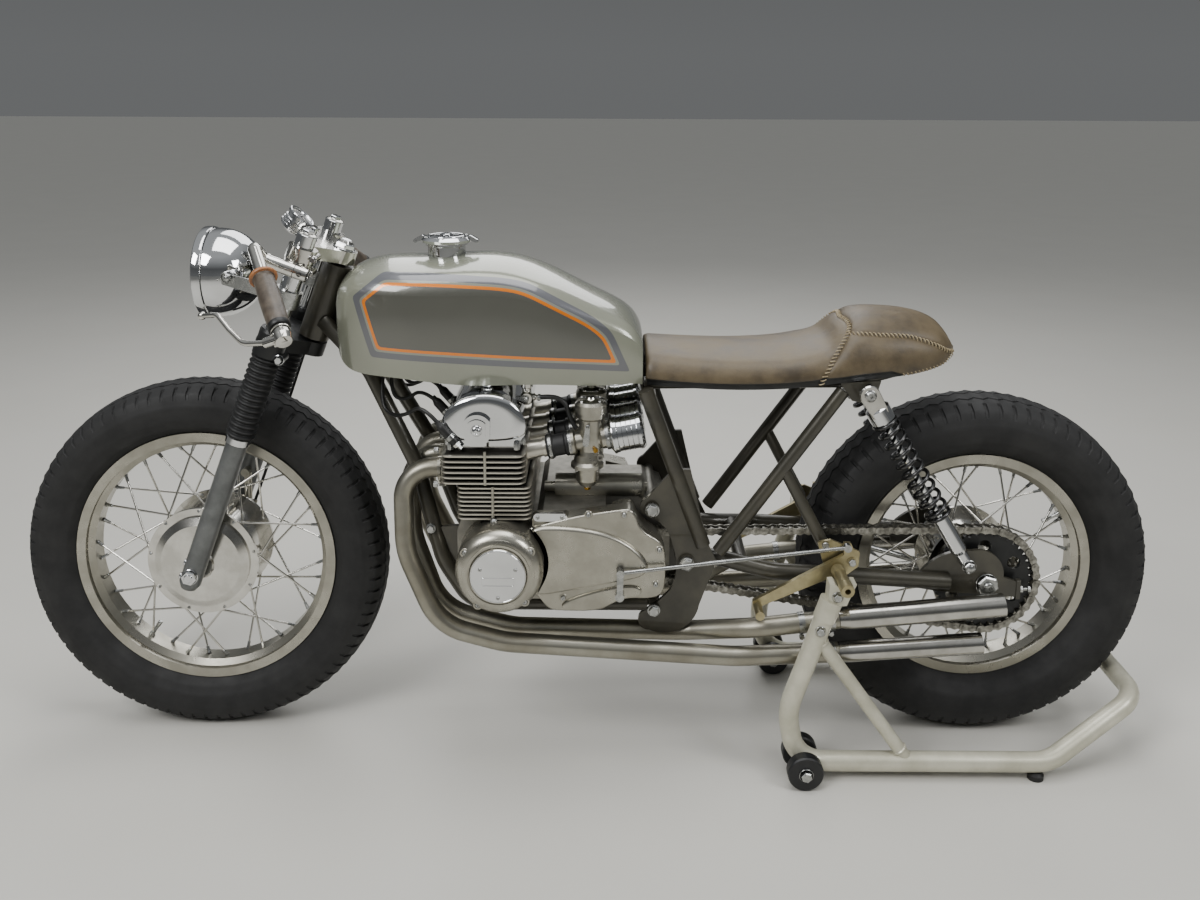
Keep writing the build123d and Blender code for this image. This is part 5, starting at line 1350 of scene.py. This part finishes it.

# yokes and fork, in fork coordinates: stem nut; leg caps, pinch bolts, clip-on clamps with open tube ends whose dark
# insides are black discs of painted shade, axle nuts
socketHead = (4.8, 0, 4.8, 4.8, 4.2, 5.5, 2.6, 5.5, 2.4, 3.5, 0, 3.5)
footHead = (6, 0, 6, 4.2, 5.2, 5, 2.8, 5, 2.6, 3, 0, 3)
yokes = {
    "stem": [((50, 0, 642), forkUp, 36, (20.5, 0, 20.5, 1.6, 19.5, 2.2), 0),
             ((50, 0, 643.6), forkUp, "hex", (32.5, 9.8), 0),
             ((50, 0, 653.2), forkUp, 36, (12.8, 0, 12.4, 2.2, 9.5, 6.2, 4, 7.8, 0, 8), 0)],
    "legs": [((0, 97.5, 668.4), forkUp, "hex", (19, 5.5), 0),
             ((0, 97.5, 662), forkUp, 36, (17.8, 0, 17.8, 2.4, 17, 3.2), 0),
             ((25.5, 82.5, 630), sideways, 24, (0, 0, 6.8, 0, 6.8, 30, 5.8, 31, 0, 31), 1),
             ((25.5, 113.5, 630), sideways, 18, socketHead, 0),
             ((26.5, 82.5, 604), sideways, 24, (0, 0, 6.2, 0, 6.2, 30, 5.2, 31, 0, 31), 1),
             ((26.5, 113.5, 604), sideways, 18, socketHead, 0),
             ((26, 84, 441), sideways, 24, (0, 0, 8.5, 0, 8.5, 31, 7.5, 32, 0, 32), 2),
             ((26, 116, 441), sideways, 24, (9.2, 0, 9.2, 1.4, 8.5, 1.8), 0),
             ((26, 117.3, 441), sideways, "hex", (12, 6.2), 0),
             ((27, 128, 604), forkBack, 32, (12.5, -0.8, 12.2, 0.6, 9.8, 0.6, 9.6, 0.2), 1),
             # a black disc just inside the open tube end: painted shade for the tube's dark inside
             ((27, 128, 604), forkBack, 24, (9.7, 0.2, 0, 0.3), 3),
             ((4, 128, 604), forkBack, 32, (12.4, 0, 12.7, 0.2, 12.7, 1.2, 12.4, 1.4), 3),
             ((16, 140.2, 604), sideways, 20, (4.2, 0, 4.2, 0.5, 3, 0.8, 2.8, 0.2, 0, 0.2), 3),
             ((-46, 128, 604), forkBack, 32, (12.4, 0, 13.4, 0.4, 13.4, 5, 12.4, 5.4), 1),
             ((0, 117, 0), sideways, 32, (15, 0, 15, 1.6, 14.2, 2.2), 0),
             ((0, 118.6, 0), sideways, "hex", (24, 6.2), 0),
             ((0, 123.4, 0), sideways, 24, (8.6, 0, 8.6, 1.2, 6.6, 3.2, 0, 4), 0),
             ((-17, 97.5, -14), -forkBack, 18, footHead, 0), ((-17, 97.5, 14), -forkBack, 18, footHead, 0),
             ((0, 97.5, 264.5), forkUp, 40, (22.2, 0, 22.9, 0.6, 22.9, 11.8, 22.2, 12.4), 0)],
}


def makeYokeTrim(look):
    shape = Shape()
    shape.fit(look["stem"], onLeg, (1,))
    shape.fit(look["legs"], onLeg)
    makePiece("forkTrim", shape, "chromedSteel polishedAluminium blackSteelPaint blackCapRubber", "steering",
              crease=32)


makeYokeTrim(yokes)

# levers: pivot screws and slots in the perches, the slots drawn as black lines of painted shade, lock rings at the bar
# ends
lever = {"perch": (12, -15, -2), "steps": ((-3, -15.5, -12), (-62, 8, -20)), "pivot": 0.52,
         "slot": (0.42, 0.6, 0.8, 1.0)}


def makeLeverTrim(look):
    shape = Shape()
    perch = barEnd + mm(*look["perch"])
    first, second = (mm(*step) for step in look["steps"])
    nose = barEnd + first + (second - first) * 0.35
    way = (nose - perch).normalized()
    face = Vector((0, -1, 0))
    face = (face - way * face.dot(way)).normalized()
    pivot, over, run = perch + (nose - perch) * look["pivot"], way.cross(face), (elbow - barEnd).normalized()
    for side in (-1, 1):
        a, b, c, up, flat, inward = (v if side < 0 else mirrored(v) for v in (perch, nose, pivot, over, face, run))
        shape.lathe(c + up * 0.0076, up, (5, 0, 5, 2.2, 4.2, 3, 1.6, 3, 1.4, 1.8, 0, 1.8), 18)
        shape.lathe(c - up * 0.0076, -up, (5.2, 0, 5.2, 3, 0, 3), 6)
        # a thin black rod along the perch face stands for the slot's dark gap: painted shade, the slot itself is not
        # cut
        shape.tube([a + (b - a) * share + flat * 0.00785 for share in look["slot"]], 1.1, 8, 1)
        end = barEnd if side < 0 else mirrored(barEnd)
        shape.lathe(end + inward * 0.0045, inward, (14.6, -2.2, 15.4, -1.6, 15.4, 0.4, 14.6, 1), 36)
    makePiece("leverTrim", shape, "polishedAluminium blackSteelPaint", "steering", crease=32)


makeLeverTrim(lever)

# rear end: shock eyes and feet, axle nuts, chain adjusters, swingarm pivot, rearset bolts, pipe clamps
rearEnd = {
    "parts": [((486, 143, 690), sideways, 28, (11, 0, 11, 1.2, 10.2, 1.8), 1),
              ((486, 144.4, 690), sideways, "screw", (9.2, 4.6), 1),
              ((677, 135.4, 375), sideways, 28, (12.5, 0, 12.5, 1.6, 11.8, 2.2), 1),
              ((677, 137, 375), sideways, "hex", (17, 6.2), 1),
              ((677, 143, 375), sideways, 24, (7.2, 0, 6.6, 2.4, 4, 4.2, 0, 4.8), 1),
              ((720, 108.1, 329), sideways, 36, (20, 0, 20, 1.8, 19, 2.4), 1),
              ((720, 109.9, 329), sideways, "hex", (33.5, 9.2), 1),
              ((720, 121.9, 329), sideways, 24, (8.6, -4, 8.6, 0.6, 7.2, 2, 0, 2.2), 1),
              ((772, 104, 318), (1, 0, 0), "rod", (3.2, 30), 1),
              ((782, 104, 318), (1, 0, 0), "hex", (11, 5.5), 1), ((796, 104, 318), (1, 0, 0), "hex", (10, 5.5), 1),
              ((176, 118, 371), sideways, "hex", (24, 9), 1), ((465, 151.6, 389), sideways, "hex", (12, 5), 1)],
    "rearsetBolts": ((420, 414), (441, 362)),
    "shockEye": ringOf((486, 690, 18), (504, 660, 15.5), count=12),
    "adjuster": [(774, 300), (782, 300), (782, 336), (774, 336)],
    "pegGrooves": ((152, 4), (211, 5)), "groovePitch": 4.8,
    "pipeClamps": [((430, 150, 217), (0.9988, 0, 0.0486)), ((426, 150, 279.6), (0.9924, 0, 0.1232)),
                   ((374, 150, 273.2), (0.9924, 0, 0.1232))],
    "pipe": 17.8,
}


def makeRearTrim(look):
    shape = Shape()
    shape.fit(look["parts"])
    shape.fit([((x, 135.2, z), sideways, 20, (6.4, 0, 6.4, 4, 5.6, 5, 3.4, 5, 3.2, 3, 0, 3), 1)
               for x, z in look["rearsetBolts"]])
    for side in (-1, 1):
        shape.slab(look["shockEye"], side * 136.6, side * 143.2, 2.2, 0)
        shape.slab(look["adjuster"], side * 98.5, side * 109.5, 0.8, 3)
    for start, count in look["pegGrooves"]:
        outline = [10.8, 0]
        for k in range(count):
            at = look["groovePitch"] * k
            outline += [12, at + 0.4, 12, at + 3.4, 11.2, at + 3.8, 11.2, at + 4.8]
        shape.fit([((440, start, 375), sideways, 32, outline, 2)])
    r = look["pipe"]
    for (x, y, z), way in look["pipeClamps"]:
        earX, earZ = x + way[0] * 5.6, z + way[2] * 5.6 - r - 4
        shape.fit([((x, y, z), way, 40, (r - 0.3, 0, r + 1.2, 0.3, r + 1.2, 11, r - 0.3, 11.4), 1),
                   ((earX, y - 8, earZ), sideways, "rod", (3, 17), 1),
                   ((earX, y + 8.6, earZ), sideways, "hex", (9, 4.4), 1)])
    makePiece("rearTrim", shape, "polishedAluminium platedSteel bronzeAnodisedAluminium satinFramePaint", "frame",
              crease=32)


makeRearTrim(rearEnd)

# stand: locking bolts of the cradles, castor bolts, weld beads where the brace meets the frame
stand = {"cradleBolts": ((402, 208, 288), (430, 205, 350)), "castorBolts": ((233, 1), (147, -1)), "castor": (382, 31.5),
         "welds": ((408, 258), (553, 57)), "brace": (0.584, 0, -0.811), "braceRadius": 12.6}


def makeStandTrim(look):
    shape = Shape()
    for x, y, z in look["cradleBolts"]:
        shape.fit([((x, y - 0.6, z), sideways, 24, (10, 0, 10, 1.6, 9.2, 2.2), 0),
                   ((x, y + 0.8, z), sideways, "hex", (13, 5.8), 0)])
    x, z = look["castor"]
    for y, way in look["castorBolts"]:
        shape.fit([((x, y, z), (0, way, 0), 28, (12.5, 0, 12.5, 1.6, 11.8, 2.2), 0),
                   ((x, y + way * 1.6, z), (0, way, 0), "hex", (17, 7.2), 0)])
    r = look["braceRadius"]
    for x, z in look["welds"]:
        shape.fit([((x, 190, z), look["brace"], 28, (r - 1, -2, r + 1.2, 0, r + 1, 2.2, r - 1, 4), 1)])
    makePiece("standTrim", shape, "platedSteel creamStandPaint", "frame", crease=32)


makeStandTrim(stand)

# filler cap: hinge and catch ears, button and ring; gearbox filler cover; starter's end
caps = {"ears": ((-218, -206), (-304, -317)), "top": (-261, 945.6), "screws": 6, "screwCircle": 38.5,
        "filler": ((-89, 477, 7.5), (-45, 477, 7.5)), "fillerScrews": (-88, -46)}


def makeCapTrim(look):
    shape = Shape()
    for x, tip in look["ears"]:
        shape.slab(ringOf((x, 943, 4.5), (tip, 937, 3.6)), -8.5, 8.5)
        shape.tube([mm(tip, -10.5, 937), mm(tip, 10.5, 937)], 2.2, 12)
    x, z = look["top"]
    shape.lathe(mm(x, 0, z), above, (32, -0.6, 32.6, 1.2, 31, 2, 29, 1.4), 56)
    shape.lathe(mm(x, 0, z), above, (12, 0.4, 12, 3.8, 11, 4.8, 0, 5.2), 40)
    for k in range(look["screws"]):
        angle = 2 * pi * k / look["screws"] + 0.5
        at = mm(x + look["screwCircle"] * cos(angle), look["screwCircle"] * sin(angle), z - 1.2)
        shape.roundScrew(at, above, 2.9, 2.4, 1)
    shape.slab(ringOf(*look["filler"]), -164, -169.5, 1.2)
    for x in look["fillerScrews"]:
        shape.roundScrew(mm(x, -169.2, 477), (0, -1, 0), 3.6, 2.4, 1)
    shape.lathe(mm(92, -45, 486), (1, 0, 0), (24.8, 0, 24.8, 4, 21.5, 8.5, 8.5, 10.5, 8.5, 14.5, 0, 15), 40, 2)
    makePiece("capTrim", shape, "chromedSteel platedSteel satinCoverAluminium", "frame", crease=32)


makeCapTrim(caps)
print("front, rear and stand trim ready")
